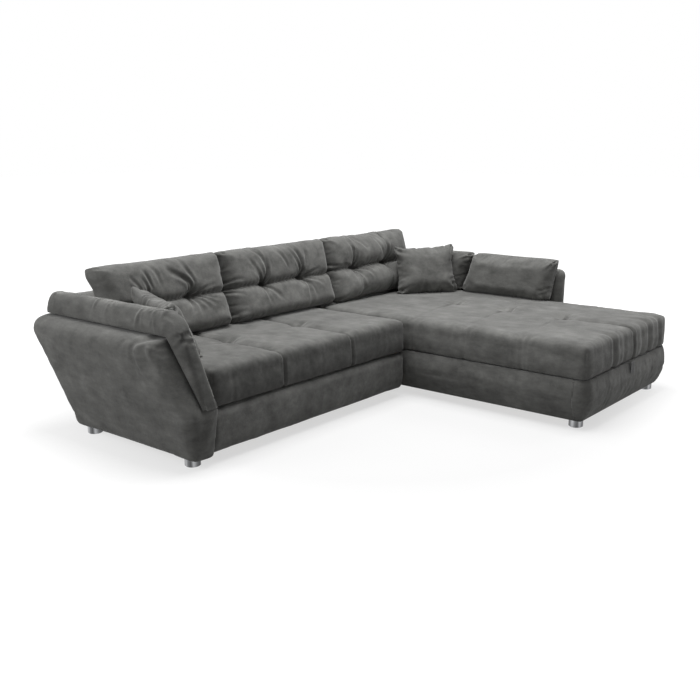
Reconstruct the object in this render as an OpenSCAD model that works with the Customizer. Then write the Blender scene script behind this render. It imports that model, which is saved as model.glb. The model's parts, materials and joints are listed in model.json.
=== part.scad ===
// Corner sofa bed: a main section with one leaning arm and a pull-out bed drawer,
// and a long chaise whose padded lid lifts on gas springs over a storage box.
// Millimetres, Z up. The origin is on the floor under the middle of the sofa's outer box.

/* [Main section] */
// Width of the main seat between the arm and the joint with the chaise
seat_w = 1380; // [1200:10:1800]
// Depth of the main seat from its front plane to the back cushions
seat_d = 560; // [520:5:640]
// Height of the seat above the floor
seat_h = 423; // [405:1:460]
// Height of the seam between the bases and the seat mattresses
seam_h = 251; // [240:1:270]
// Clear height under the bases, which is the height of the feet
foot_h = 38; // [34:1:50]
// How far the back of the seat mattress runs in under the back cushions
seat_tail = 138; // [120:2:160]
// Width of the open joint between the main section and the chaise
section_gap = 37; // [25:1:50]
// Distance of the deck's front rail behind the seat's front plane
deck_front = 48; // [44:1:56]
// Gap between neighbouring boards
joint_gap = 0.2; // [0.1:0.1:0.5]

/* [Chaise] */
// Width of the chaise
chaise_w = 1023; // [900:10:1200]
// How far the chaise stands forward of the main seat
chaise_out = 1040; // [900:10:1200]
// Thickness of the padding on the chaise's boards
padding_t = 30; // [26:1:36]
// Thickness of the padding left at its lower edge
padding_lip = 3; // [2:1:6]
// How far the padded panels swell outwards
panel_swell = 16; // [8:1:24]
// Radius of the chaise's front corners, seen from above
chaise_corner_r = 55; // [50:1:70]
// Distance behind the main seat's front plane at which the left panel ends
left_panel_end = 60; // [40:5:100]

/* [Boards] */
// Thickness of the upright boards
board_t = 18; // [15:1:22]
// Thickness of the bottom boards
floor_t = 12; // [9:1:18]
// Height of the bottom boards above the underside of the bases
floor_lift = 12; // [8:1:20]
// Height of the deck rails under the main mattress
rail_h = 24; // [18:1:30]
// Width of the deck rails
rail_w = 60; // [45:1:80]
// Number of bowed slats in the deck
slat_count = 12; // [8:1:14]
// Width of a slat
slat_w = 62; // [45:1:70]
// Thickness of a slat
slat_t = 10; // [8:1:12]
// How far a slat bows upwards in its middle
slat_bow = 7; // [3:1:9]

/* [Back] */
// Thickness of the back's foot, from front to rear
back_foot_t = 92; // [80:2:110]
// Height of the upholstered back
back_h = 656; // [640:1:690]
// Thickness of the back at its top
back_top_t = 128; // [100:2:150]
// How far the back's top stands behind its foot
back_lean = 190; // [150:5:205]
// Radius of the back's top edges
back_r = 42; // [25:1:55]

/* [Back cushions] */
// Height of the back cushions' crest above the floor
crest_h = 799; // [760:1:830]
// Share of the main seat's width in front of the left cushion
cushion_left_share = 0.511; // [0.48:0.001:0.53]
// Width of the middle cushion as a share of the main seat's width
cushion_mid_share = 0.598; // [0.57:0.001:0.62]
// Distance of the right cushion's end from the chaise's far side
cushion_end_in = 128; // [110:1:140]
// How far the left cushion reaches over the arm
cushion_over_arm = 64; // [50:1:90]
// Swell of a back cushion's front from its seam
cushion_front = 100; // [70:2:120]
// Swell of a back cushion's rear from its seam
cushion_rear = 74; // [40:2:90]
// Reach of a back cushion's rolled edge at its sides
cushion_roll_x = 84; // [70:1:95]
// Reach of a back cushion's rolled edge at its top and bottom
cushion_roll_y = 72; // [60:1:80]
// How far the weight of a back cushion presses its lower edge flat
cushion_sink = 16; // [10:1:24]
// Lean of the back cushions, in degrees
cushion_lean = 14; // [10:1:20]
// Distance of each sewn tuft from the middle of its cushion
tuft_out = 142; // [110:2:180]
// Depth of the tufts on the back cushions
tuft_deep = 46; // [20:2:60]
// Depth of the sewn line that joins the tufts
crease_deep = 24; // [10:2:34]

/* [Arm] */
// Width of the arm at its foot
arm_w = 112; // [90:2:140]
// How far the arm's outer face leans out at its top
arm_out = 93; // [60:2:110]
// How far the arm's inner face leans out at its top
arm_in = 40; // [30:2:60]
// Height of the arm's hard shoulder
arm_h = 565; // [540:1:590]
// Depth of the arm at its foot
arm_foot_d = 846; // [780:1:880]
// How far the arm's shoulder stands behind its foot
arm_back = 195; // [150:1:220]
// How far the arm's front edge leans back from its lower bulge to its shoulder
arm_front_lean = 177; // [120:5:200]
// How far the arm's lower front stands out in front of the seat
arm_bulge = 60; // [30:2:80]
// Edge radius of the arm's outer side
arm_r = 45; // [30:1:55]
// Radius of the arm's upper rear corner
arm_rear_r = 60; // [50:1:75]
// Edge radius of the arm's inner side
arm_edge_r = 12; // [8:1:16]
// Height of the arm's lower front bulge
arm_bend_z = 243; // [220:1:270]
// Height of the saddle pad above the arm's shoulder
pad_h = 112; // [90:2:130]
// Width of the saddle pad
pad_w = 96; // [80:2:110]
// Distance of the saddle pad's rear end from the arm's rear end
pad_rear_in = 52; // [20:1:60]
// Edge radius of the arm's underside
arm_foot_r = 22; // [16:1:30]

/* [Side rest] */
// Thickness of the low side rest
rest_t = 100; // [80:2:120]
// Height of the low side rest
rest_h = 609; // [580:1:640]
// Distance from the main seat's front plane to the front end of the side rest
rest_front = 385; // [320:5:420]
// Gap between the chaise and the side rest
rest_gap = 15; // [10:1:25]
// Radius of the side rest's top edges
rest_r = 42; // [30:1:48]

/* [Loose cushions] */
// Width of a throw pillow from ear to ear
pillow_w = 402; // [360:2:440]
// Height of a throw pillow from ear to ear
pillow_h = 318; // [290:2:350]
// Swell of a throw pillow to each side
pillow_swell = 62; // [45:1:75]
// Height of the side cushions above the seat
bolster_h = 248; // [230:2:280]
// Thickness of the side cushions
bolster_t = 108; // [90:2:120]
// Distance of the long side cushion behind the side rest's front end
bolster_in = 50; // [40:1:70]
// Length of the long side cushion at its foot
bolster_w = 614; // [560:2:640]
// Gap between the long side cushion and the corner cushion
corner_gap = 4; // [2:1:8]
// Length of the corner cushion
corner_w = 259; // [240:1:262]
// How far the long side cushion's front end runs forward per millimetre of height
near_slant = 0.16; // [0:0.01:0.25]
// How far the meeting ends of the side cushions run forward per millimetre of height
end_slant = 0.32; // [0.2:0.01:0.47]
// How far a throw pillow's own weight presses its lower edge flat
pillow_sink = 14; // [8:1:20]
// Distance of the left throw pillow from the main seat's left end
left_pillow_in = 152; // [148:1:156]
// Distance of the left throw pillow behind the main seat's front plane
left_pillow_y = 362; // [355:1:368]
// Turn of the left throw pillow, in degrees
left_pillow_yaw = 74; // [72:1:78]
// Lean of the left throw pillow, in degrees
left_pillow_lean = 27; // [20:1:28]
// Tilt of the left throw pillow in its own plane, in degrees
left_pillow_roll = 5; // [0:1:6]
// Distance of the right throw pillow from the chaise's far side
right_pillow_in = 261; // [240:1:280]
// Distance of the right throw pillow behind the main seat's front plane
right_pillow_y = 395; // [370:1:410]
// Turn of the right throw pillow, in degrees
right_pillow_yaw = -38; // [-42:1:-34]
// Lean of the right throw pillow, in degrees
right_pillow_lean = 14; // [10:1:20]
// Tilt of the right throw pillow in its own plane, in degrees
right_pillow_roll = 2; // [0:1:4]

/* [Sewing] */
// Line of the main mattress's first seam, from the seat's left end
seat_seam_a = 441; // [400:1:480]
// Line of the main mattress's second seam
seat_seam_b = 934; // [890:1:970]
// Distance of the main mattress's tufts from the seat's front plane
seat_tuft_line = 352; // [320:2:380]
// Line of the chaise mattress's tufts, from its left edge
chaise_tuft_x = 572; // [540:2:600]
// Distance of the front cross seam before the main seat's front plane
chaise_seam_a = 645; // [620:5:680]
// Distance of the middle cross seam before the main seat's front plane
chaise_seam_b = 300; // [270:5:330]
// Distance of the rear cross seam behind the main seat's front plane
chaise_seam_c = 40; // [20:5:70]
// Reach of the mattresses' rolled edges
mat_roll = 62; // [54:1:80]
// Height of the mattresses' piping above their underside
mat_split = 62; // [50:1:80]
// Depth of the mattresses' sewn lines
seam_deep = 13; // [6:1:18]
// Depth of the mattresses' tufts
mat_tuft_deep = 24; // [12:1:32]

/* [Bed drawer] */
// Height of the drawer's boards
drawer_h = 150; // [120:2:155]
// Gap at each side between the drawer and the end boards
drawer_gap = 6; // [4:1:10]
// Radius of the castor wheels
wheel_r = 19; // [17:1:20]
// Width of the castor wheels
wheel_w = 22; // [16:1:28]
// Radius of the castor axles
axle_r = 4; // [3:0.5:5]
// Height of the folding mattress in the drawer
drawer_pad_h = 138; // [110:2:140]
// Distance of the castors from the ends of the main section
castor_in = 150; // [110:5:200]
// Distance of the front castors behind the seat's front plane
castor_front_y = 220; // [150:5:260]
// Thickness of the castor forks
fork_t = 3; // [2:0.5:4]

/* [Lid and springs] */
// Thickness of the lid board
lid_t = 17.7; // [15:0.1:20]
// Distance of the lid's hinge axis behind the visible rear edge of the seat
hinge_in = 43; // [38:1:46]
// Height of the lid's hinge axis above the floor
hinge_z = 411; // [406:1:416]
// Radius of the hinge knuckles
knuckle_r = 6; // [5:0.5:7]
// Length of one hinge knuckle
knuckle_l = 24; // [18:1:32]
// Radius of the hinge pins
hinge_pin_r = 2.5; // [2:0.1:3]
// Thickness of the hinge leaves
leaf_t = 2.5; // [2:0.1:3]
// Distance from the hinge axis to each end of a closed gas spring
spring_arm = 336; // [333:1:345]
// Height of the gas springs' lower pivots
lower_pivot_z = 85; // [83:1:91]
// Height of the gas springs' upper pivots
upper_pivot_z = 213; // [209:1:219]
// Angle that the lid opens, in degrees
lid_open = 28; // [20:1:28]
// Length of the rod that shows when a gas spring is closed
rod_end = 30; // [26:1:34]
// Distance of the gas springs from the box's inner faces
spring_in = 17; // [15:1:20]
// Width of a gas spring's eyes
eye_w = 16; // [12:1:18]
// Thickness of the spring brackets
bracket_t = 3; // [2:0.5:4]
// Height of the lid's battens
batten_h = 20; // [15:1:24]
// Width of the lid's battens
batten_w = 30; // [25:1:40]
// Distance of the battens from the box's inner faces
batten_in = 44; // [42:1:60]
// Thickness of the steel riser behind the lid mattress
riser_t = 4; // [3:0.5:8]
// Length of the hinge leaves below the ledge's top
leaf_low = 32; // [28:1:40]
// Reach of the rolled edge at the lid mattress's rear end
tail_roll = 14; // [10:1:24]

/* [Pull tab] */
// Distance of the pull tab from the chaise's left side
tab_in = 495; // [400:5:600]
// Width of the pull tab
tab_w = 46; // [40:1:60]
// Thickness of the pull tab's webbing
tab_t = 2; // [1:0.5:3]
// Length of the pull tab below the lid's top
tab_drop = 62; // [40:1:75]
// Radius of the gas spring's cylinder
tube_r = 11; // [9:0.5:14]
// Radius of the gas spring's rod
rod_r = 5; // [4:0.5:6]
// Radius of the pivot studs
stud_r = 5; // [4:0.5:6]

/* [Feet] */
// Radius of the metal feet
foot_r = 35; // [30:1:38]
// Radius of the plain rear feet
glide_r = 22; // [18:1:28]
// Distance of the arm's front foot behind the main seat's front plane
arm_foot_y = 65; // [60:1:90]
// Distance of the arm's rear foot from its rear end
arm_foot_in = 80; // [70:1:100]
// Width of the flange at a foot's top
flange_w = 3; // [2:1:6]
// Distance of the chaise's metal feet from its sides
foot_inset = 70; // [68:1:110]

/* [Connectors] */
// Distance of the front connector behind the main seat's front plane
connector_y0 = 300; // [200:5:320]
// Distance of the rear connector behind the main seat's front plane
connector_y1 = 590; // [540:5:620]
// Height of the connectors above the underside of the bases
connector_up = 90; // [80:1:110]
// Thickness of the connector plates
connector_t = 4; // [3:1:6]
// Width of the connector plates
connector_w = 80; // [60:2:90]
// Height of the connector plates
connector_h = 70; // [50:2:80]
// Radius of the connector bars
connector_r = 14; // [10:1:18]

/* [Clearances] */
// Seating gap between soft pieces and what carries them
soft_gap = 0.3; // [0.2:0.1:0.6]
// Radial running gap of pins and rods
run_gap = 0.05; // [0.03:0.01:0.08]
// Side gap between turning parts
side_gap = 0.5; // [0.3:0.1:1]

/* [Hidden] */

fabric_c = [0.36, 0.36, 0.35];
fabric_dark_c = [0.30, 0.30, 0.29];
wood_c = [0.76, 0.62, 0.42];
steel_c = [0.72, 0.73, 0.75];
black_c = [0.10, 0.10, 0.11];
foam_c = [0.85, 0.83, 0.76];

// Main landmarks, measured from the main seat's front left corner
chaise_x0 = seat_w + section_gap;
chaise_x1 = chaise_x0 + chaise_w;
chaise_y0 = -chaise_out;
rest_x0 = chaise_x1 + rest_gap;
rest_x1 = rest_x0 + rest_t;
back_y0 = seat_d + seat_tail + 2;
back_y1 = back_y0 + back_foot_t;
arm_top_y1 = arm_foot_d + arm_back;
box_x0 = -arm_w - arm_out;
box_y0 = chaise_y0 - panel_swell - 1 - tab_t;
box_y1 = max(arm_top_y1, back_y1 + back_lean);
origin_x = (box_x0 + rest_x1) / 2;
origin_y = (box_y0 + box_y1) / 2;

base_top = seam_h - soft_gap;
floor_z = foot_h + floor_lift;
front_board_y = deck_front - board_t - 2;

// Moves a piece from the landmark frame to the sofa's own frame
module place() {
    translate([-origin_x, -origin_y, 0])
        children();
}

// A board given by its lowest and highest corners
module board(low, high) {
    translate(low)
        cube(high - low);
}

// Depth of a station beyond the flat middle: 0 inside, up to steps at the seam
function rim_depth(k, inner, steps) =
    k < steps ? steps - k : (k >= steps + inner ? k - steps - inner + 1 : 0);

// Place of station k along one axis: the inner stations, then the rolled rim
function station(k, inner, half, roll, steps, power) =
    let (depth = rim_depth(k, len(inner), steps),
         side = k < steps ? -1 : 1)
    depth == 0 ? inner[k - steps]
               : side * (half - roll + roll * pow(sin(90 * depth / steps), 2 / power));

// Share of the full swell that is left at a depth into the rim
function rim_share(depth, steps, power) =
    depth >= steps ? 0 : pow(cos(90 * depth / steps), 2 / power);

// Smooth bump of height 1, used for tufts and sewn lines
function bump(t, reach) = exp(-pow(t / reach, 2));

// A closed soft form over a grid of stations. front and rear give the swell to each
// side of its seam, ear draws the sides in between the corners, corner rounds them,
// and put moves a point of the form to its place.
module soft_form(half, inner, roll, steps, power, front, rear, ear, corner, put) {
    nx = len(inner[0]) + 2 * steps;
    ny = len(inner[1]) + 2 * steps;
    function flat_point(i, j) =
        let (x = station(i, inner[0], half[0], roll[0], steps, power),
             y = station(j, inner[1], half[1], roll[1], steps, power),
             u = x / half[0],
             v = y / half[1],
             pull = corner * pow(abs(u * v), 5))
        [x * (1 - ear[0] / half[0] * (1 - v * v)) - sign(x) * pull,
         y * (1 - ear[1] / half[1] * (1 - u * u)) - sign(y) * pull];
    function share(i, j) =
        rim_share(max(rim_depth(i, len(inner[0]), steps), rim_depth(j, len(inner[1]), steps)),
                  steps, power);
    function skin(i, j, side) =
        let (p = flat_point(i, j), s = share(i, j))
        put([p[0], p[1], side > 0 ? s * front(p[0], p[1]) : -s * rear(p[0], p[1])]);
    front_points = [for (i = [0:nx - 1], j = [0:ny - 1]) skin(i, j, 1)];
    rear_points = [for (i = [1:nx - 2], j = [1:ny - 2]) skin(i, j, -1)];
    function front_at(i, j) = i * ny + j;
    function rear_at(i, j) =
        i == 0 || j == 0 || i == nx - 1 || j == ny - 1 ? front_at(i, j)
        : nx * ny + (i - 1) * (ny - 2) + j - 1;
    // Each cell is cut along the diagonal that runs out to the nearest corner
    function cut_rising(i, j) = (2 * i < nx - 1) == (2 * j < ny - 1);
    function cell(a, b, c, d, rising) = rising ? [[a, b, c], [a, c, d]] : [[a, b, d], [b, c, d]];
    front_faces = [for (i = [0:nx - 2], j = [0:ny - 2])
        each cell(front_at(i, j), front_at(i, j + 1), front_at(i + 1, j + 1), front_at(i + 1, j),
                  cut_rising(i, j))];
    rear_faces = [for (i = [0:nx - 2], j = [0:ny - 2])
        each cell(rear_at(i, j), rear_at(i + 1, j), rear_at(i + 1, j + 1), rear_at(i, j + 1),
                  cut_rising(i, j))];
    polyhedron(concat(front_points, rear_points), concat(front_faces, rear_faces));
}

// A closed skin over rings of equal, even point counts. Each flat end is a strip between
// the first and the second half of its ring.
module loft(rings) {
    n = len(rings[0]);
    last = len(rings) - 1;
    points = [for (ring = rings) each ring];
    walls = [for (k = [0:last - 1], i = [0:n - 1], half_face = [0, 1])
        let (a = k * n + i, b = k * n + (i + 1) % n)
        half_face == 0 ? [a, b, b + n] : [a, b + n, a + n]];
    strip = [for (i = [0:n / 2 - 2]) [i, i + 1, n - 2 - i, n - 1 - i]];
    start_cap = [for (q = strip) [q[3], q[2], q[1], q[0]]];
    end_cap = [for (q = strip) [for (i = q) last * n + i]];
    polyhedron(points, concat(walls, start_cap, end_cap));
}

// Even stations from low to high
function spread(low, high, count) = [for (k = [0:count - 1]) low + (high - low) * k / (count - 1)];

// Stations close to each sewn line, so that a groove keeps its shape
function around(places, reach) = [for (p = places) each [p - reach, p, p + reach]];

// The sewn seat mattresses

chaise_seams = [-chaise_seam_a, -chaise_seam_b, chaise_seam_c];
mat_steps = 3;
mat_power = 2.7;
seam_reach = 26;
tuft_reach = 44;
mat_x0 = 3;
mat_x1 = seat_w + 10;
mat_y0 = -15;
mat_y1 = back_y0 - 2;
main_half = [(mat_x1 - mat_x0) / 2, (mat_y1 - mat_y0) / 2];
main_mid = [(mat_x0 + mat_x1) / 2, (mat_y0 + mat_y1) / 2];
seat_tuft_y = seat_tuft_line - main_mid[1];

function edge_stations(half, middle) = concat([mat_roll - half], middle, [half - mat_roll]);

module main_mattress() {
    seams = [seat_seam_a - main_mid[0], seat_seam_b - main_mid[0]];
    xs = edge_stations(main_half[0], concat([-440], around([seams[0]], 38), [-80, 80],
                                            around([seams[1]], 38), [440]));
    ys = edge_stations(main_half[1], [-150, seat_tuft_y - 50, seat_tuft_y, seat_tuft_y + 50, 150]);
    color(fabric_c)
        place()
            soft_form(main_half, [xs, ys], [mat_roll, mat_roll], mat_steps, mat_power,
                function(x, y) seat_h - seam_h - mat_split
                    - seam_deep * (bump(x - seams[0], seam_reach) + bump(x - seams[1], seam_reach))
                    - mat_tuft_deep * (bump(norm([x - seams[0], y - seat_tuft_y]), tuft_reach)
                                       + bump(norm([x - seams[1], y - seat_tuft_y]), tuft_reach)),
                function(x, y) mat_split,
                [3, 3], 16,
                function(p) [main_mid[0] + p[0], main_mid[1] + p[1], seam_h + mat_split + p[2]]);
}

hinge_y = seat_d + hinge_in;
riser_y1 = hinge_y - 3;
riser_y0 = riser_y1 - riser_t;
lid_mat_x0 = chaise_x0 - 10;
lid_mat_x1 = chaise_x1;
lid_mat_y0 = chaise_y0 - 6;
lid_mat_y1 = riser_y0 - soft_gap;
lid_half = [(lid_mat_x1 - lid_mat_x0) / 2, (lid_mat_y1 - lid_mat_y0) / 2];
lid_mid = [(lid_mat_x0 + lid_mat_x1) / 2, (lid_mat_y0 + lid_mat_y1) / 2];

// The lid mattress has a short roll at its rear end, where it meets the ledge
function lid_tail(y) =
    y < lid_half[1] - mat_roll ? y : lid_half[1] - (lid_half[1] - y) * tail_roll / mat_roll;

module chaise_mattress() {
    tuft_x = lid_mat_x0 + chaise_tuft_x - lid_mid[0];
    seams = [for (y = chaise_seams) y - lid_mid[1]];
    xs = edge_stations(lid_half[0], [-320, -190, -70, tuft_x - 40, tuft_x, tuft_x + 40, 190, 320]);
    ys = edge_stations(lid_half[1], concat([-560], around([seams[0]], 36), [-215],
                                           around([seams[1]], 36), [130],
                                           around([seams[2]], 36), [520]));
    color(fabric_c)
        place()
            soft_form(lid_half, [xs, ys], [mat_roll, mat_roll], mat_steps, mat_power,
                function(x, y) seat_h - seam_h - mat_split
                    - (y < seams[0] ? seam_deep * bump(x - tuft_x, seam_reach) : 0)
                    - seam_deep / 2 * (bump(y - seams[0], seam_reach) + bump(y - seams[1], seam_reach)
                                       + bump(y - seams[2], seam_reach))
                    - mat_tuft_deep * (bump(norm([x - tuft_x, y - seams[0]]), tuft_reach)
                                       + bump(norm([x - tuft_x, y - seams[1]]), tuft_reach)
                                       + bump(norm([x - tuft_x, y - seams[2]]), tuft_reach)),
                function(x, y) mat_split,
                [3, 3], 22,
                function(p) [lid_mid[0] + p[0], lid_mid[1] + lid_tail(p[1]), seam_h + mat_split + p[2]]);
}

// The upholstered back, one part behind each section

back_top_y1 = back_y1 + back_lean;
back_top_y0 = back_top_y1 - back_top_t;

// Where the leaning front face of the back meets its rounded top
back_turn = 150;
back_turn_y = back_top_y0 + back_r + back_r * cos(back_turn);
back_turn_z = back_h - back_r + back_r * sin(back_turn);

// Front face of the back at height z
function back_front(z) =
    back_y0 + (back_turn_y - back_y0) * max(0, min(1, (z - seat_h) / (back_turn_z - seat_h)));

// Rear face of the back at height z
function back_rear(z) = back_y1 + back_lean * (z - foot_h) / (back_h - back_r - foot_h);

// Points of an arc in the side view
function side_arc(y, z, r, from, to, count) =
    [for (k = [0:count]) let (a = from + (to - from) * k / count) [y + r * cos(a), z + r * sin(a)]];

back_levels = [foot_h, arm_bend_z, seat_h, arm_h];
back_outline = concat(
    [for (z = back_levels) [back_front(z), z]],
    side_arc(back_top_y0 + back_r, back_h - back_r, back_r, back_turn, 95, 4),
    side_arc(back_top_y1 - back_r, back_h - back_r, back_r, 85, 0, 4),
    [for (k = [3:-1:0]) [back_rear(back_levels[k]), back_levels[k]]]);

// Inner face of the arm at height z
function arm_inner(z) = -arm_in * max(0, min(1, (z - arm_bend_z) / (arm_h - arm_bend_z)));

module back_part(x_low, x_high) {
    loft([[for (p = back_outline) [x_low(p[1]), p[0], p[1]]],
          [for (p = back_outline) [x_high, p[0], p[1]]]]);
}

module main_back() {
    color(fabric_dark_c)
        place()
            back_part(function(z) arm_inner(z) + soft_gap, chaise_x0 - section_gap / 2 - soft_gap);
}

module chaise_back() {
    color(fabric_dark_c)
        place()
            back_part(function(z) chaise_x0 - section_gap / 2 + soft_gap, rest_x0 - soft_gap);
}

// Back cushions: two lobes over a sewn line with two tufts

cushion_half_h = (crest_h - seat_h + 16) / cos(cushion_lean) / 2;
cushion_y0 = seat_d + cushion_front - 8;

// The left half of a cushion is stretched or drawn in, so that its end comes to x_limit
module back_cushion(x0, x1, x_limit) {
    half = [(x1 - x0) / 2, cushion_half_h];
    inner_x = half[0] - cushion_roll_x;
    inner_y = half[1] - cushion_roll_y;
    xs = concat([-inner_x], around([-tuft_out], 42), [-45, 45], around([tuft_out], 42), [inner_x]);
    ys = [-inner_y, -inner_y * 0.62, -34, 0, 34, inner_y * 0.62, inner_y];
    function put_cushion(p) =
        let (up = p[1] + half[1],
             z = max(seat_h + soft_gap,
                     seat_h + soft_gap - cushion_sink + up * cos(cushion_lean)
                     + p[2] * sin(cushion_lean)),
             y = cushion_y0 + up * sin(cushion_lean) - p[2] * cos(cushion_lean),
             left = max(0, -p[0]) / half[0],
             x = (x0 + x1) / 2 + p[0] + (x_limit(z) - x0) * pow(left, 2))
        [x, min(y, back_front(z) - soft_gap), z];
    color(fabric_c)
        place()
            soft_form(half, [xs, ys], [cushion_roll_x, cushion_roll_y], 3, 2.3,
                function(x, y) cushion_front
                    - crease_deep * bump(y, 26)
                    - tuft_deep * (bump(norm([x - tuft_out, y]), 46)
                                   + bump(norm([x + tuft_out, y]), 46)),
                function(x, y) cushion_rear,
                [10, 9], 12,
                function(p) put_cushion(p));
}

cushion_join_a = seat_w * cushion_left_share;
cushion_join_b = cushion_join_a + seat_w * cushion_mid_share;
cushion_end = chaise_x1 - cushion_end_in;
pad_top = arm_h + pad_h;

// Left limit of the left cushion: beside the arm, then rolling out over its pad
function cushion_limit(z) =
    let (over = max(0, min(1, (z - pad_top - 4) / 60)))
    (1 - over) * (arm_inner(z) + 3) - over * cushion_over_arm;

module back_cushion_left() {
    back_cushion(-cushion_over_arm, cushion_join_a - soft_gap, function(z) cushion_limit(z));
}

module back_cushion_middle() {
    back_cushion(cushion_join_a, cushion_join_b - soft_gap, function(z) cushion_join_a);
}

module back_cushion_right() {
    back_cushion(cushion_join_b, cushion_end, function(z) cushion_join_b);
}

// Leaning arm: a padded shell with a saddle pad over its top and front

arm_front_y = -arm_bulge + arm_front_lean;
arm_slope = atan2(arm_h - arm_r - arm_bend_z, arm_front_y + arm_bulge - arm_r * 0.4);
arm_low = [arm_r - arm_bulge, arm_bend_z];
arm_high = [arm_low[0] + (arm_h - arm_r - arm_bend_z) / tan(arm_slope), arm_h - arm_r];
slope_out = [-sin(arm_slope), cos(arm_slope)];
shoulder_out = [-(1 - cos(arm_slope)) / sin(arm_slope), 1];
edge_step = arm_r - arm_edge_r;

module arm_ball(x, at, r) {
    translate([x, at[0], at[1]])
        sphere(r, $fn = 28);
}

module arm_shell() {
    foot_front = [arm_foot_r - 20, foot_h + arm_foot_r];
    foot_rear = [arm_foot_d - arm_foot_r, foot_h + arm_foot_r];
    top_rear = [arm_top_y1 - arm_rear_r, arm_h - arm_rear_r];
    rear_step = arm_rear_r - arm_edge_r;
    low_x = -arm_w - arm_out * (arm_bend_z - foot_h) / (arm_h - foot_h);
    inner_x = -soft_gap - arm_edge_r;
    foot_step = arm_foot_r - arm_edge_r;
    rear_run = top_rear - foot_rear;
    rear_bend = foot_rear + rear_run * (arm_bend_z - foot_rear[1]) / rear_run[1];
    rear_out = [rear_run[1], -rear_run[0]] / norm(rear_run);
    color(fabric_c)
        place()
            hull() {
                arm_ball(arm_foot_r - arm_w, foot_front, arm_foot_r);
                arm_ball(arm_r + low_x, arm_low, arm_r);
                arm_ball(arm_r - arm_w - arm_out, arm_high, arm_r);
                arm_ball(arm_rear_r - arm_w - arm_out, top_rear, arm_rear_r);
                arm_ball(arm_foot_r - arm_w, foot_rear, arm_foot_r);
                arm_ball(inner_x, foot_front - [foot_step, foot_step], arm_edge_r);
                arm_ball(inner_x, arm_low + edge_step * slope_out, arm_edge_r);
                arm_ball(inner_x, rear_bend + foot_step * rear_out, arm_edge_r);
                arm_ball(inner_x - arm_in, arm_high + edge_step * shoulder_out, arm_edge_r);
                arm_ball(inner_x - arm_in, top_rear + [rear_step, rear_step], arm_edge_r);
                arm_ball(inner_x, foot_rear + [foot_step, -foot_step], arm_edge_r);
            }
}

// Path of the pad's underside, from the rear over the shoulder and down the front
pad_turn = arm_high + edge_step * shoulder_out;
pad_rear_y = arm_top_y1 - pad_rear_in;
pad_slope_l = (pad_turn[1] - arm_low[1] - 18) / sin(arm_slope);

// One station of the pad: place, direction away from the arm, share of full height
function pad_top_station(s, share) = [[pad_rear_y - s, arm_h], [0, 1], share];
function pad_turn_station(k) =
    let (a = 90 + k * arm_slope / 3, out = [cos(a), sin(a)])
    [pad_turn + arm_edge_r * out, out, 1 - 0.05 * k];
function pad_slope_station(t) =
    [pad_turn + arm_edge_r * slope_out - t * pad_slope_l * [cos(arm_slope), sin(arm_slope)],
     slope_out, 0.84 * pow(1 - t, 0.75) + 0.02];

pad_run = pad_rear_y - pad_turn[0];
pad_stations = concat(
    [pad_top_station(0, 0.34), pad_top_station(10, 0.72), pad_top_station(34, 0.93)],
    [for (t = [0.13, 0.3, 0.5, 0.7, 0.86]) pad_top_station(t * pad_run, 1)],
    [for (k = [0:3]) pad_turn_station(k)],
    [for (t = [0.14, 0.3, 0.48, 0.66, 0.82, 0.94, 1]) pad_slope_station(t)]);

// Dome-shaped section of the pad at one station
function pad_ring(s) =
    let (at = s[0], out = s[1], share = s[2],
         x_in = arm_inner(at[1]) - 2,
         w = pad_w * (0.86 + 0.14 * share))
    [for (k = [0:13])
        let (a = 180 - 180 * k / 13,
             across = sign(cos(a)) * pow(abs(cos(a)), 0.62),
             height = soft_gap + pad_h * share * pow(sin(a), 0.72))
        [x_in - w / 2 + across * w / 2, at[0] + out[0] * height, at[1] + out[1] * height]];

module arm_pad() {
    color(fabric_c)
        place()
            loft([for (s = pad_stations) pad_ring(s)]);
}

// Low side rest at the chaise's far side

rest_y1 = back_top_y1;

module side_rest() {
    color(fabric_dark_c)
        place()
            hull() {
                for (y = [-rest_front + rest_r, rest_y1 - rest_r]) {
                    translate([rest_x0 + rest_r, y, rest_h - rest_r])
                        sphere(rest_r, $fn = 28);
                    translate([rest_x1 - rest_r, y, rest_h - rest_r])
                        sphere(rest_r, $fn = 28);
                }
                translate([rest_x0, -rest_front + rest_r, foot_h])
                    cube([rest_t, rest_y1 - rest_r + rest_front - rest_r, 20]);
                translate([rest_x0 + rest_r, -rest_front, foot_h])
                    cube([rest_t - 2 * rest_r, rest_front + rest_y1, 20]);
            }
}

module side_rest_spacer() {
    color(wood_c)
        place()
            board([chaise_x1 - padding_t, -rest_front + 20, foot_h + 20],
                  [rest_x0, back_y0 - 20, seam_h - 20]);
}

// Loose cushions

// A throw pillow standing on the seat: yaw turns it, lean tips it back
module throw_pillow(at, yaw, lean, roll_angle) {
    half = [pillow_w / 2, pillow_h / 2];
    across = [cos(yaw), sin(yaw), 0];
    front = [sin(yaw) * cos(lean), -cos(yaw) * cos(lean), sin(lean)];
    up = [-sin(yaw) * sin(lean), cos(yaw) * sin(lean), cos(lean)];
    xs = spread(-half[0] + 120, half[0] - 120, 4);
    ys = spread(-half[1] + 100, half[1] - 100, 4);
    function put_pillow(p) =
        let (a = p[0] * cos(roll_angle) - p[1] * sin(roll_angle),
             b = p[0] * sin(roll_angle) + p[1] * cos(roll_angle) + half[1],
             q = at + across * a + up * b + front * p[2])
        [q[0], q[1], max(q[2], seat_h + soft_gap)];
    color(fabric_c)
        place()
            soft_form(half, [xs, ys], [120, 100], 4, 1.75,
                function(x, y) pillow_swell,
                function(x, y) pillow_swell * 0.8,
                [20, 16], 0,
                function(p) put_pillow(p));
}

module left_throw_pillow() {
    throw_pillow([left_pillow_in, left_pillow_y, seat_h - pillow_sink],
                 left_pillow_yaw, left_pillow_lean, left_pillow_roll);
}

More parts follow.
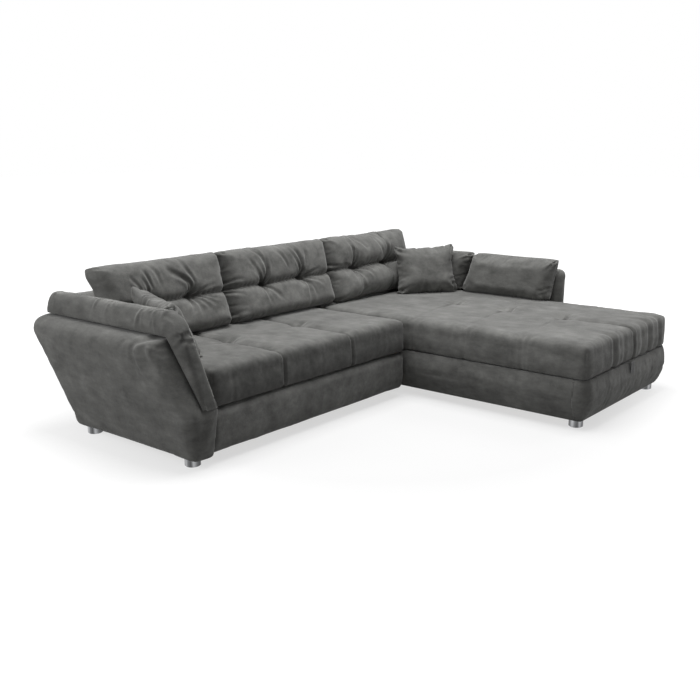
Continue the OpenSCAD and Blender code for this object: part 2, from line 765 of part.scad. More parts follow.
module right_throw_pillow() {
    throw_pillow([chaise_x1 - right_pillow_in, right_pillow_y, seat_h - pillow_sink],
                 right_pillow_yaw, right_pillow_lean, right_pillow_roll);
}

// A side cushion between y0 and y1 at its foot, flat against the side rest. The slants
// say how far each end runs forward per millimetre of height.
module side_cushion(y0, y1, near_slant, far_slant) {
    half = [(y1 - y0) / 2, bolster_h / 2 + 8];
    roll = [78, 66];
    xs = spread(roll[0] - half[0], half[0] - roll[0], max(4, ceil((y1 - y0) / 110)));
    ys = spread(roll[1] - half[1], half[1] - roll[1], 4);
    x_flat = rest_x0 - soft_gap;
    function put_side(p) =
        let (z = max(seat_h + soft_gap, seat_h - 12 + p[1] + half[1]),
             x = x_flat - 34 - p[2] + (z - seat_h) * 0.08,
             far = (half[0] - p[0]) / 2 / half[0],
             y = (y0 + y1) / 2 - p[0]
                 - (z - seat_h) * (far_slant * far + near_slant * (1 - far)))
        [min(x, x_flat), y, z];
    color(fabric_c)
        place()
            soft_form(half, [xs, ys], roll, 3, 2.3,
                function(x, y) bolster_t - 34,
                function(x, y) 60,
                [8, 7], 10,
                function(p) put_side(p));
}

bolster_y0 = -rest_front + bolster_in;
bolster_y1 = bolster_y0 + bolster_w;
corner_y0 = bolster_y1 + corner_gap;

module bolster() {
    side_cushion(bolster_y0, bolster_y1, near_slant, end_slant);
}

module corner_cushion() {
    side_cushion(corner_y0, corner_y0 + corner_w, end_slant, 0);
}

// Base and deck of the main section

deck_top = seam_h - soft_gap;
deck_low = deck_top - rail_h;
rail_rear = back_y0 - joint_gap;
slat_front = deck_front + rail_w + joint_gap;
slat_rear = rail_rear - rail_w - joint_gap;

module base_end_boards() {
    color(wood_c)
        place()
            for (x = [0, seat_w - board_t])
                board([x, deck_front, foot_h], [x + board_t, rail_rear, deck_low]);
}

module deck_rails() {
    color(wood_c)
        place() {
            board([0, deck_front, deck_low], [seat_w, deck_front + rail_w, deck_top]);
            board([0, rail_rear - rail_w, deck_low], [seat_w, rail_rear, deck_top]);
            for (x = [0, seat_w - rail_w])
                board([x, slat_front, deck_low], [x + rail_w, slat_rear, deck_top]);
        }
}

// Side view of one bowed slat, from the front rail to the rear rail
slat_outline = let (steps = 10, low = deck_low + 4)
    concat([for (k = [0:steps]) [slat_front + (slat_rear - slat_front) * k / steps,
                                 low + slat_bow * sin(180 * k / steps)]],
           [for (k = [steps:-1:0]) [slat_front + (slat_rear - slat_front) * k / steps,
                                    low + slat_t + slat_bow * sin(180 * k / steps)]]);

module deck_slats() {
    run = seat_w - 2 * rail_w;
    color(wood_c)
        place()
            for (k = [0:slat_count - 1])
                translate([rail_w + run * (k + 0.5) / slat_count - slat_w / 2, 0, 0])
                    rotate([90, 0, 90])
                        linear_extrude(slat_w)
                            polygon(slat_outline);
}

// Turned foot with a flange at its top
module foot(at, r, top) {
    wide = r + flange_w;
    translate([at[0], at[1], 0])
        rotate_extrude($fn = 48)
            polygon([[0, 0], [r - 3, 0], [r, 3], [r, top - 4], [wide, top - 4], [wide, top], [0, top]]);
}

arm_foot_x = -arm_w / 2;

module metal_feet() {
    color(steel_c)
        place() {
            foot([arm_foot_x, arm_foot_y], foot_r, foot_h);
            foot([arm_foot_x, arm_foot_d - arm_foot_in], foot_r, foot_h);
            foot([chaise_x0 + foot_inset, chaise_y0 + foot_inset], foot_r, floor_z);
            foot([chaise_x1 - foot_inset, chaise_y0 + foot_inset], foot_r, floor_z);
        }
}

module rear_glides() {
    back_mid = (back_y0 + back_y1) / 2;
    color(black_c)
        place() {
            for (y = [deck_front + 182, rail_rear - 70])
                foot([seat_w - glide_r - 5, y], glide_r, foot_h);
            for (x = [240, seat_w - 220, chaise_x0 + 90, chaise_x1 - 90])
                foot([x, back_mid], glide_r, foot_h);
            for (y = [rest_r - rest_front + 20, back_mid])
                foot([(rest_x0 + rest_x1) / 2, y], glide_r, foot_h);
        }
}

module drawer_guides() {
    w = drawer_gap - soft_gap;
    color(black_c)
        place()
            for (x = [board_t, seat_w - board_t - w])
                board([x, deck_front + 12, floor_z + 65], [x + w, rail_rear - 20, floor_z + 87]);
}

module section_connectors() {
    run = board_x0 - seat_w;
    w = connector_w / 2;
    h = connector_h / 2;
    for (y = [connector_y0, connector_y1])
        color(steel_c)
            place()
                translate([seat_w, y, foot_h + connector_up]) {
                    board([0, -w, -h], [connector_t, w, h]);
                    board([run - connector_t, -w, -h], [run, w, h]);
                    rotate([0, 90, 0])
                        cylinder(r = connector_r, h = run, $fn = 32);
                }
}

// Bed drawer under the main seat

drawer_x0 = board_t + drawer_gap;
drawer_x1 = seat_w - board_t - drawer_gap;
drawer_y0 = front_board_y + board_t;
drawer_y1 = rail_rear - 12;
drawer_top = floor_z + drawer_h;
front_low = foot_h + 2;
front_high = seam_h - 3;

module drawer_front_board() {
    color(wood_c)
        place()
            board([8, front_board_y, floor_z], [seat_w - 8, drawer_y0, deck_low - 4]);
}

module drawer_front_pad() {
    half = [seat_w / 2 - 3, (front_high - front_low) / 2];
    roll = [30, 46];
    seam_y = 9;
    xs = spread(roll[0] - half[0], half[0] - roll[0], 7);
    ys = [roll[1] - half[1], 0, half[1] - roll[1]];
    function put_front(p) =
        let (below = max(0, -p[1] / half[1]),
             y = seam_y - p[2] + 16 * below * below)
        [seat_w / 2 + p[0], min(y, front_board_y - soft_gap), (front_low + front_high) / 2 + p[1]];
    color(fabric_c)
        place()
            soft_form(half, [xs, ys], roll, 3, 2.4,
                function(x, y) seam_y + panel_swell,
                function(x, y) 30,
                [0, 0], 6,
                function(p) put_front(p));
}

module drawer_sides() {
    color(wood_c)
        place()
            for (x = [drawer_x0, drawer_x1 - board_t])
                board([x, drawer_y0, floor_z], [x + board_t, drawer_y1, drawer_top]);
}

module drawer_back_board() {
    color(wood_c)
        place()
            board([drawer_x0 + board_t, drawer_y1 - board_t, floor_z],
                  [drawer_x1 - board_t, drawer_y1, drawer_top]);
}

module drawer_floor() {
    color(wood_c)
        place()
            board([drawer_x0 + board_t, drawer_y0, floor_z],
                  [drawer_x1 - board_t, drawer_y1 - board_t, floor_z + floor_t]);
}

module drawer_mattress() {
    x0 = drawer_x0 + board_t + 2;
    x1 = drawer_x1 - board_t - 2;
    y0 = drawer_y0 + 3;
    y1 = drawer_y1 - board_t - 3;
    half = [(x1 - x0) / 2, (y1 - y0) / 2];
    roll = [50, 50];
    xs = spread(roll[0] - half[0], half[0] - roll[0], 4);
    ys = concat([roll[1] - half[1]], around([0], 30), [half[1] - roll[1]]);
    color(foam_c)
        place()
            soft_form(half, [xs, ys], roll, 2, 3,
                function(x, y) drawer_pad_h - 60 - 12 * bump(y, 24),
                function(x, y) 60,
                [2, 2], 8,
                function(p) [(x0 + x1) / 2 + p[0], (y0 + y1) / 2 + p[1],
                             floor_z + floor_t + soft_gap + 60 + p[2]]);
}

// Castors: fork, axle and wheel

castor_rear_y = drawer_y1 - board_t - 60;
castor_spots = [[castor_in, castor_front_y], [seat_w - castor_in, castor_front_y],
                [castor_in, castor_rear_y], [seat_w - castor_in, castor_rear_y]];
fork_half = wheel_w / 2 + side_gap;

module castor_fork() {
    difference() {
        union() {
            board([-fork_half - fork_t, -26, floor_z - fork_t], [fork_half + fork_t, 26, floor_z]);
            for (x = [-fork_half - fork_t, fork_half])
                board([x, -13, wheel_r - 11], [x + fork_t, 13, floor_z - fork_t]);
        }
        translate([-fork_half - fork_t - 1, 0, wheel_r])
            rotate([0, 90, 0])
                cylinder(r = axle_r, h = 2 * (fork_half + fork_t) + 2, $fn = 32);
    }
}

module castor_forks() {
    for (at = castor_spots)
        color(steel_c)
            place()
                translate([at[0], at[1], 0])
                    castor_fork();
}

module castor_axles() {
    for (at = castor_spots)
        color(steel_c)
            place()
                translate([at[0] - fork_half - fork_t, at[1], wheel_r])
                    rotate([0, 90, 0])
                        cylinder(r = axle_r, h = 2 * (fork_half + fork_t), $fn = 32);
}

module castor_wheel(at) {
    color(black_c)
        place()
            translate([at[0], at[1], wheel_r])
                rotate([0, 90, 0])
                    rotate_extrude($fn = 48)
                        polygon([[axle_r + run_gap, -wheel_w / 2], [wheel_r * 0.36, -wheel_w / 2],
                                 [wheel_r * 0.42, -wheel_w / 2 + 4], [wheel_r * 0.74, -wheel_w / 2 + 4],
                                 [wheel_r * 0.8, -wheel_w / 2], [wheel_r - 2, -wheel_w / 2],
                                 [wheel_r, -wheel_w / 2 + 2], [wheel_r, wheel_w / 2 - 2],
                                 [wheel_r - 2, wheel_w / 2], [wheel_r * 0.8, wheel_w / 2],
                                 [wheel_r * 0.74, wheel_w / 2 - 4], [wheel_r * 0.42, wheel_w / 2 - 4],
                                 [wheel_r * 0.36, wheel_w / 2], [axle_r + run_gap, wheel_w / 2]]);
}

module castor_wheel_front_left() { castor_wheel(castor_spots[0]); }
module castor_wheel_front_right() { castor_wheel(castor_spots[1]); }
module castor_wheel_rear_left() { castor_wheel(castor_spots[2]); }
module castor_wheel_rear_right() { castor_wheel(castor_spots[3]); }

// Chaise: storage box with padded panels

board_x0 = chaise_x0 + padding_t;
board_x1 = chaise_x1 - padding_t;
board_y0 = chaise_y0 + padding_t;
lid_z0 = seam_h - soft_gap - lid_t;
wall_top = lid_z0 - soft_gap;
corner_y = chaise_y0 + chaise_corner_r;

// How far the padded face stands out at height z: full above, drawn in below
function panel_out(z) =
    let (t = (z - foot_h) / (front_high - foot_h), full = 0.6)
    t > full ? panel_swell - (panel_swell + 8) * pow((t - full) / (1 - full), 2)
             : panel_swell - (panel_swell + padding_t - padding_lip) * pow((full - t) / full, 2);

panel_levels = [for (t = [1, 0.93, 0.82, 0.6, 0.4, 0.24, 0.1, 0]) foot_h + t * (front_high - foot_h)];

// Front panel's outline at height z: round both outer corners, then back along the boards
function front_ring(z) =
    let (out = panel_out(z), r = chaise_corner_r,
         side_mid = (corner_y + board_y0) / 2,
         left_end = chaise_x0 + r,
         right_end = chaise_x1 - r)
    concat([for (a = [180:22.5:270]) [left_end + (r + out) * cos(a), corner_y + (r + out) * sin(a), z]],
           [for (a = [270:22.5:360]) [right_end + (r + out) * cos(a), corner_y + (r + out) * sin(a), z]],
           [[board_x1, corner_y, z], [board_x1, side_mid, z], [board_x1, board_y0, z],
            [(board_x1 + right_end) / 2, board_y0, z], [right_end, board_y0, z],
            [left_end, board_y0, z], [(board_x0 + left_end) / 2, board_y0, z],
            [board_x0, board_y0, z], [board_x0, side_mid, z], [board_x0, corner_y, z]]);

module chaise_front_panel() {
    color(fabric_c)
        place()
            loft([for (z = panel_levels) front_ring(z)]);
}

module chaise_left_panel() {
    y0 = corner_y + joint_gap;
    color(fabric_c)
        place()
            loft([for (z = panel_levels)
                let (x = chaise_x0 - panel_out(z))
                [[x, left_panel_end, z], [x, y0, z], [board_x0, y0, z], [board_x0, left_panel_end, z]]]);
}

module chaise_right_panel() {
    y0 = corner_y + joint_gap;
    y1 = -rest_front - 1;
    color(fabric_c)
        place()
            loft([for (z = panel_levels)
                let (x = chaise_x1 + panel_out(z))
                [[board_x1, y1, z], [board_x1, y0, z], [x, y0, z], [x, y1, z]]]);
}

module storage_boards() {
    side_y0 = board_y0 + board_t + joint_gap;
    color(wood_c)
        place() {
            board([board_x0, board_y0, floor_z], [board_x1, board_y0 + board_t, wall_top]);
            for (x = [board_x0, board_x1 - board_t])
                board([x, side_y0, floor_z], [x + board_t, back_y0 - joint_gap, wall_top]);
        }
}

ledge_y0 = hinge_y + 3;
ledge_y1 = ledge_y0 + board_t - 2;
ledge_top = hinge_z - knuckle_r - 7;
storage_x0 = board_x0 + board_t;
storage_x1 = board_x1 - board_t;

module storage_floor() {
    color(wood_c)
        place()
            board([storage_x0, board_y0 + board_t, floor_z], [storage_x1, ledge_y1, floor_z + floor_t]);
}

module ledge_frame() {
    cheek_top = ledge_top - board_t;
    color(wood_c)
        place() {
            board([storage_x0, ledge_y0, floor_z + floor_t], [storage_x1, ledge_y1, cheek_top]);
            for (x = [board_x0, board_x1 - board_t])
                board([x, ledge_y1 + joint_gap, wall_top + joint_gap],
                      [x + board_t, back_y0 - joint_gap, cheek_top]);
            board([board_x0, ledge_y0, cheek_top + joint_gap],
                  [board_x1, back_y0 - joint_gap, ledge_top]);
        }
}

module ledge_pad() {
    y0 = hinge_y + knuckle_r + 2;
    y1 = back_y0 - 2;
    x0 = chaise_x0 - 4;
    x1 = rest_x0 - 2;
    half = [(x1 - x0) / 2, (y1 - y0) / 2];
    h = (seat_h - ledge_top - soft_gap) / 2;
    color(fabric_c)
        place()
            soft_form(half, [spread(20 - half[0], half[0] - 20, 4), spread(20 - half[1], half[1] - 20, 3)],
                [20, 20], 2, 3,
                function(x, y) h,
                function(x, y) h,
                [0, 0], 4,
                function(p) [(x0 + x1) / 2 + p[0], (y0 + y1) / 2 + p[1], ledge_top + soft_gap + h + p[2]]);
}

// Lid of the chaise, with its hinges and gas springs

riser_top = hinge_z - knuckle_r - 1;

module lid_board() {
    color(wood_c)
        place()
            board([board_x0, board_y0, lid_z0], [board_x1, riser_y1, lid_z0 + lid_t]);
}

module lid_riser() {
    color(steel_c)
        place()
            board([board_x0, riser_y0, lid_z0 + lid_t], [board_x1, riser_y1, riser_top]);
}

module lid_battens() {
    color(wood_c)
        place()
            for (x = [storage_x0 + batten_in, storage_x1 - batten_in - batten_w])
                board([x, board_y0 + board_t + 30, lid_z0 - batten_h], [x + batten_w, riser_y0 - 30, lid_z0]);
}

hinge_spots = [chaise_x0 + 170, (chaise_x0 + chaise_x1) / 2, chaise_x1 - 170];

module knuckle(x, r_bore) {
    translate([x, hinge_y, hinge_z])
        rotate([0, 90, 0])
            difference() {
                cylinder(r = knuckle_r, h = knuckle_l, $fn = 40);
                translate([0, 0, -1])
                    cylinder(r = r_bore, h = knuckle_l + 2, $fn = 32);
            }
}

module hinge_leaves_fixed() {
    for (x = hinge_spots)
        color(steel_c)
            place() {
                board([x - knuckle_l * 1.5 - side_gap, ledge_y0 - leaf_t, ledge_top - leaf_low],
                      [x + knuckle_l * 1.5 + side_gap, ledge_y0, riser_top]);
                for (start = [x - knuckle_l * 1.5 - side_gap, x + knuckle_l / 2 + side_gap]) {
                    knuckle(start, hinge_pin_r);
                    difference() {
                        board([start, ledge_y0 - leaf_t, riser_top - 1],
                              [start + knuckle_l, ledge_y0, hinge_z]);
                        translate([start - 1, hinge_y, hinge_z])
                            rotate([0, 90, 0])
                                cylinder(r = knuckle_r - 1, h = knuckle_l + 2, $fn = 40);
                    }
                }
            }
}

module hinge_leaves_moving() {
    for (x = hinge_spots)
        color(steel_c)
            place() {
                board([x - knuckle_l * 1.5, riser_y1, ledge_top - leaf_low],
                      [x + knuckle_l * 1.5, riser_y1 + leaf_t, riser_top]);
                knuckle(x - knuckle_l / 2, hinge_pin_r + run_gap);
                difference() {
                    board([x - knuckle_l / 2, riser_y1, riser_top - 1],
                          [x + knuckle_l / 2, riser_y1 + leaf_t, hinge_z]);
                    translate([x - knuckle_l / 2 - 1, hinge_y, hinge_z])
                        rotate([0, 90, 0])
                            cylinder(r = knuckle_r - 1, h = knuckle_l + 2, $fn = 40);
                }
            }
}

module hinge_pins() {
    l = 3 * knuckle_l + 2 * side_gap;
    for (x = hinge_spots)
        color(steel_c)
            place()
                translate([x - l / 2, hinge_y, hinge_z])
                    rotate([0, 90, 0])
                        cylinder(r = hinge_pin_r, h = l, $fn = 32);
}

// Gas springs: both pivots lie one spring_arm from the hinge axis, so that the spring
// turns by half of the lid's angle

lower_drop = hinge_z - lower_pivot_z;
upper_drop = hinge_z - upper_pivot_z;
lower_pivot = [hinge_y - sqrt(pow(spring_arm, 2) - pow(lower_drop, 2)), lower_pivot_z];
upper_pivot = [hinge_y - sqrt(pow(spring_arm, 2) - pow(upper_drop, 2)), upper_pivot_z];
spring_closed = norm(upper_pivot - lower_pivot);
spring_spread = asin(lower_drop / spring_arm) - asin(upper_drop / spring_arm);
spring_open = 2 * spring_arm * sin((spring_spread + lid_open) / 2);
spring_tilt = atan2(upper_pivot[1] - lower_pivot[1], lower_pivot[0] - upper_pivot[0]);
eye_r = stud_r + 5;
tube_end = rod_end + spring_open - spring_closed + 7;

// Puts a piece drawn along -Y from a pivot onto the spring's line, at side x
module on_spring(x, pivot) {
    translate([x, pivot[0], pivot[1]])
        rotate([-spring_tilt, 0, 0])
            children();
}

module eye(r_bore) {
    translate([-eye_w / 2, 0, 0])
        rotate([0, 90, 0])
            difference() {
                cylinder(r = eye_r, h = eye_w, $fn = 40);
                translate([0, 0, -1])
                    cylinder(r = r_bore, h = eye_w + 2, $fn = 32);
            }
}

module gas_cylinder(x) {
    color(black_c)
        place()
            on_spring(x, lower_pivot) {
                difference() {
                    translate([0, -eye_r + 2, 0])
                        rotate([90, 0, 0])
                            cylinder(r = tube_r, h = tube_end - eye_r + 2, $fn = 48);
                    translate([0, -rod_end + 8, 0])
                        rotate([90, 0, 0])
                            cylinder(r = rod_r + run_gap, h = tube_end, $fn = 40);
                    translate([-tube_r - 1, 0, 0])
                        rotate([0, 90, 0])
                            cylinder(r = eye_r - 1, h = 2 * tube_r + 2, $fn = 40);
                }
                eye(stud_r + run_gap);
            }
}

module gas_rod(x) {
    color(steel_c)
        place()
            on_spring(x, upper_pivot) {
                difference() {
                    translate([0, eye_r - 2, 0])
                        rotate([-90, 0, 0])
                            cylinder(r = rod_r, h = spring_closed - rod_end - eye_r + 2, $fn = 40);
                    translate([-tube_r, 0, 0])
                        rotate([0, 90, 0])
                            cylinder(r = eye_r - 1, h = 2 * tube_r, $fn = 40);
                }
                eye(stud_r + run_gap);
            }
}

module gas_cylinder_left() { gas_cylinder(storage_x0 + spring_in); }
module gas_cylinder_right() { gas_cylinder(storage_x1 - spring_in); }
module gas_rod_left() { gas_rod(storage_x0 + spring_in); }
module gas_rod_right() { gas_rod(storage_x1 - spring_in); }

// A stud that points along X from x0 to x1 at a pivot
module stud(x0, x1, pivot) {
    translate([x0, pivot[0], pivot[1]])
        rotate([0, 90, 0])
            cylinder(r = stud_r, h = x1 - x0, $fn = 32);
}

stud_reach = spring_in + eye_w / 2 + 1;

module spring_brackets_lower() {
    for (side = [0, 1]) {
        wall = side == 0 ? storage_x0 : storage_x1;
        turn = side == 0 ? 1 : -1;
        x_plate = min(wall, wall + turn * bracket_t);
        color(steel_c)
            place() {
                board([x_plate, lower_pivot[0] - 24, lower_pivot[1] - 12],
                      [x_plate + bracket_t, lower_pivot[0] + 24, lower_pivot[1] + 26]);
                stud(min(wall, wall + turn * stud_reach), max(wall, wall + turn * stud_reach), lower_pivot);
            }
    }
}

module spring_brackets_upper() {
    for (side = [0, 1]) {
        wall = side == 0 ? storage_x0 : storage_x1;
        turn = side == 0 ? 1 : -1;
        far = wall + turn * stud_reach;
        near = wall + turn * (spring_in - eye_w / 2 - 2);
        x_plate = min(far, far + turn * bracket_t);
        color(steel_c)
            place() {
                board([x_plate, upper_pivot[0] - 20, upper_pivot[1] - 11],
                      [x_plate + bracket_t, upper_pivot[0] + 20, lid_z0]);
                board([min(far, far + turn * (bracket_t + 13)), upper_pivot[0] - 20, lid_z0 - bracket_t],
                      [max(far, far + turn * (bracket_t + 13)), upper_pivot[0] + 20, lid_z0]);
                stud(min(near, far), max(near, far), upper_pivot);
            }
    }
}

// Fabric loop that lifts the lid, out of the seam at the chaise's front
tab_x = chaise_x0 + tab_in + tab_w / 2;

module pull_tab() {
    y1 = chaise_y0 - panel_swell - 1;
    top = lid_z0 + lid_t;
    color(fabric_dark_c)
        place()
            translate([tab_x - tab_w / 2, 0, 0]) {
                board([0, y1 - tab_t, top - tab_t], [tab_w, board_y0, top]);
                board([0, y1 - tab_t, top - tab_drop], [tab_w, y1, top]);
            }
}

main_mattress();
deck_rails();
deck_slats();
base_end_boards();
main_back();
back_cushion_left();
back_cushion_middle();
back_cushion_right();
arm_shell();
arm_pad();
left_throw_pillow();
metal_feet();
rear_glides();
drawer_guides();
section_connectors();
drawer_front_pad();
drawer_front_board();
drawer_sides();
drawer_back_board();
drawer_floor();
drawer_mattress();
castor_forks();
castor_axles();
castor_wheel_front_left();
castor_wheel_front_right();
castor_wheel_rear_left();
castor_wheel_rear_right();
chaise_front_panel();
chaise_left_panel();
chaise_right_panel();
storage_boards();
storage_floor();
ledge_frame();
ledge_pad();
chaise_back();
side_rest();
side_rest_spacer();
hinge_leaves_fixed();
hinge_pins();
spring_brackets_lower();
lid_board();
lid_riser();
lid_battens();
chaise_mattress();
bolster();
corner_cushion();
pull_tab();
hinge_leaves_moving();
spring_brackets_upper();
gas_cylinder_left();
gas_cylinder_right();
gas_rod_left();
gas_rod_right();
right_throw_pillow();
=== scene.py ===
"""Looks of the corner sofa bed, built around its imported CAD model. Metres, Z up."""

import math

import bpy
import numpy as np
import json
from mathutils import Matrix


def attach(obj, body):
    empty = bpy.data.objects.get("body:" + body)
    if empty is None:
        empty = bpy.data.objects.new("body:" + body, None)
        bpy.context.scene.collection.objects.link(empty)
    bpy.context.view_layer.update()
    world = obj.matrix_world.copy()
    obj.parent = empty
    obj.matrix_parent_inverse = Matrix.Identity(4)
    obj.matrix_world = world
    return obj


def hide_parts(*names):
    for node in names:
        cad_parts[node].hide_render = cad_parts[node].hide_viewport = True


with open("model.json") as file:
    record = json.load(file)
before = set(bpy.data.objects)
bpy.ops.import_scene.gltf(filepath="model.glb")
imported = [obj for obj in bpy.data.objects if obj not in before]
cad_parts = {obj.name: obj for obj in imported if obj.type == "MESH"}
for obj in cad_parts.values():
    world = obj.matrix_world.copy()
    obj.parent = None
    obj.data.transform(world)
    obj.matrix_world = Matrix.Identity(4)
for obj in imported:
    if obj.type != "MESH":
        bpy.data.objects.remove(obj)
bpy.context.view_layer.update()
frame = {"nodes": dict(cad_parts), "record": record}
NODES = frame["nodes"]

# Sizes repeated from the CAD source, in millimetres, in its landmark frame: x = 0 at the main
# seat's left end, y = 0 at its front plane, z = 0 on the floor
ORIGIN_X, ORIGIN_Y = 1175.0, -9.0
SEAT_H, SEAM_H, FOOT_H = 423.0, 251.0, 38.0
CHAISE_X0, CHAISE_X1, CHAISE_Y0 = 1417.0, 2440.0, -1040.0
BACK_Y0, BACK_Y1, BACK_H, BACK_R, BACK_TOP_T, BACK_LEAN = 700.0, 792.0, 656.0, 42.0, 128.0, 190.0
CREST_H, JOIN_A, JOIN_B, CUSHION_END, CUSHION_OVER = 799.0, 705.18, 1530.42, 2312.0, 64.0
ARM_IN, ARM_H, ARM_BEND_Z = 40.0, 565.0, 243.0
ARM_R, ARM_EDGE_R, ARM_BULGE, ARM_FRONT_LEAN = 45.0, 12.0, 60.0, 177.0
PAD_W, PAD_H, PAD_REAR_Y = 96.0, 112.0, 989.0
REST_X0 = 2455.0
SOFT_GAP = 0.3
ON_SEAT = SEAT_H + 0.5
MM = 0.001


def place(points):
    """Millimetres in the landmark frame to metres in the object's frame."""
    q = np.array(points, dtype=float)
    q[..., 0] -= ORIGIN_X
    q[..., 1] -= ORIGIN_Y
    return q * MM


# ---------------------------------------------------------------- camera, light and floor

CAMERA_AT = (-3.5774, -2.7181, 1.3505)
CAMERA_YAW, CAMERA_PITCH = 0.885, 0.231
CAMERA_LENS = 45.46


def add_camera():
    data = bpy.data.cameras.new("camera")
    data.sensor_width = 36.0
    data.lens = CAMERA_LENS
    data.clip_end = 100.0
    cam = bpy.data.objects.new("camera", data)
    cam.location = CAMERA_AT
    cam.rotation_euler = (math.pi / 2 - CAMERA_PITCH, 0.0, -CAMERA_YAW)
    bpy.context.collection.objects.link(cam)
    bpy.context.scene.camera = cam


def add_area(name, at, toward, size, power):
    data = bpy.data.lights.new(name, "AREA")
    data.shape = "RECTANGLE"
    data.size, data.size_y = size
    data.energy = power
    lamp = bpy.data.objects.new(name, data)
    lamp.location = at
    aim = np.array(toward, dtype=float) - np.array(at, dtype=float)
    aim /= np.linalg.norm(aim)
    lamp.rotation_euler = (math.acos(-aim[2]), 0.0, math.atan2(aim[1], aim[0]) - math.pi / 2)
    bpy.context.collection.objects.link(lamp)


def plug(tree, node, sockets):
    """Fills a node's sockets from (socket, value) pairs. A value that is an output is linked."""
    for socket, value in sockets:
        if isinstance(value, bpy.types.NodeSocket):
            tree.links.new(value, node.inputs[socket])
        else:
            node.inputs[socket].default_value = value


def add_node(tree, kind, sockets=(), operation=None):
    node = tree.nodes.new("ShaderNode" + kind)
    if operation:
        node.operation = operation
    plug(tree, node, sockets)
    return node


def empty_tree(owner):
    """Empty node tree of a world or material."""
    owner.use_nodes = True
    owner.node_tree.nodes.clear()
    return owner.node_tree


def seen_rays(tree):
    """1 for camera, glossy and transmission rays, which all see the pale background."""
    path = add_node(tree, "LightPath")
    value = path.outputs["Is Camera Ray"]
    for ray in ("Is Glossy Ray", "Is Transmission Ray"):
        either = add_node(tree, "Math", ((0, value), (1, path.outputs[ray])), "MAXIMUM")
        value = either.outputs[0]
    return value


WHITE = (1.0, 1.0, 1.0, 1.0)
WORLD_LEVEL = 0.205
FLOOR_TONE = (0.28, 0.28, 0.28, 1.0)
FLOOR_REACH = 30.0
# Metres from the object's middle, and how much the floor is lifted there
LIFT_NEAR, LIFT_FAR = (1.1, 0.62), (3.2, 1.1)


def add_world():
    """Soft grey dome for the object, plain white where the camera or a mirror surface sees it."""
    world = bpy.data.worlds.new("studio")
    bpy.context.scene.world = world
    tree = empty_tree(world)
    soft, white = (add_node(tree, "Background", (("Color", WHITE), ("Strength", level)))
                   for level in (WORLD_LEVEL, 1.0))
    mix = add_node(tree, "MixShader", (("Fac", seen_rays(tree)), (1, soft.outputs[0]),
                                       (2, white.outputs[0])))
    add_node(tree, "OutputWorld", (("Surface", mix.outputs[0]),))


def add_floor():
    """Pale floor. What the camera and mirror surfaces see of it is lifted towards white, more so
    away from the object."""
    mat = bpy.data.materials.new("floor")
    tree = empty_tree(mat)
    matt = add_node(tree, "BsdfDiffuse", (("Color", FLOOR_TONE),))
    coord = add_node(tree, "TexCoord")
    length = add_node(tree, "VectorMath", ((0, coord.outputs["Object"]),), "LENGTH")
    far = add_node(tree, "MapRange", (
        ("Value", length.outputs["Value"]), ("From Min", LIFT_NEAR[0]), ("From Max", LIFT_FAR[0]),
        ("To Min", LIFT_NEAR[1]), ("To Max", LIFT_FAR[1])))
    scale = add_node(tree, "Math", ((0, far.outputs[0]), (1, seen_rays(tree))), "MULTIPLY")
    lift = add_node(tree, "Emission", (("Color", WHITE), ("Strength", scale.outputs[0])))
    both = add_node(tree, "AddShader", ((0, matt.outputs[0]), (1, lift.outputs[0])))
    add_node(tree, "OutputMaterial", (("Surface", both.outputs[0]),))
    mesh = bpy.data.meshes.new("floor")
    r = FLOOR_REACH
    mesh.from_pydata([(-r, -r, 0), (r, -r, 0), (r, r, 0), (-r, r, 0)], [], [(0, 1, 2, 3)])
    mesh.materials.append(mat)
    floor = bpy.data.objects.new("floor", mesh)
    bpy.context.collection.objects.link(floor)


bpy.context.scene.view_settings.view_transform = "Standard"
add_camera()
add_world()
add_floor()
add_area("key_top", (0.0, 0.0, 4.3), (0.0, 0.1, 0.2), (3.0, 2.6), 200.0)
add_area("key_right", (2.6, -1.4, 2.8), (0.6, 0.0, 0.4), (1.4, 1.2), 26.0)
add_area("fill_left", (-3.7, 1.5, 1.8), (-1.4, 0.2, 0.6), (1.8, 1.5), 48.0)
add_area("fill_front", (2.6, -3.4, 0.9), (0.9, -0.9, 0.3), (1.8, 1.2), 13.5)

# ---------------------------------------------------------------- materials


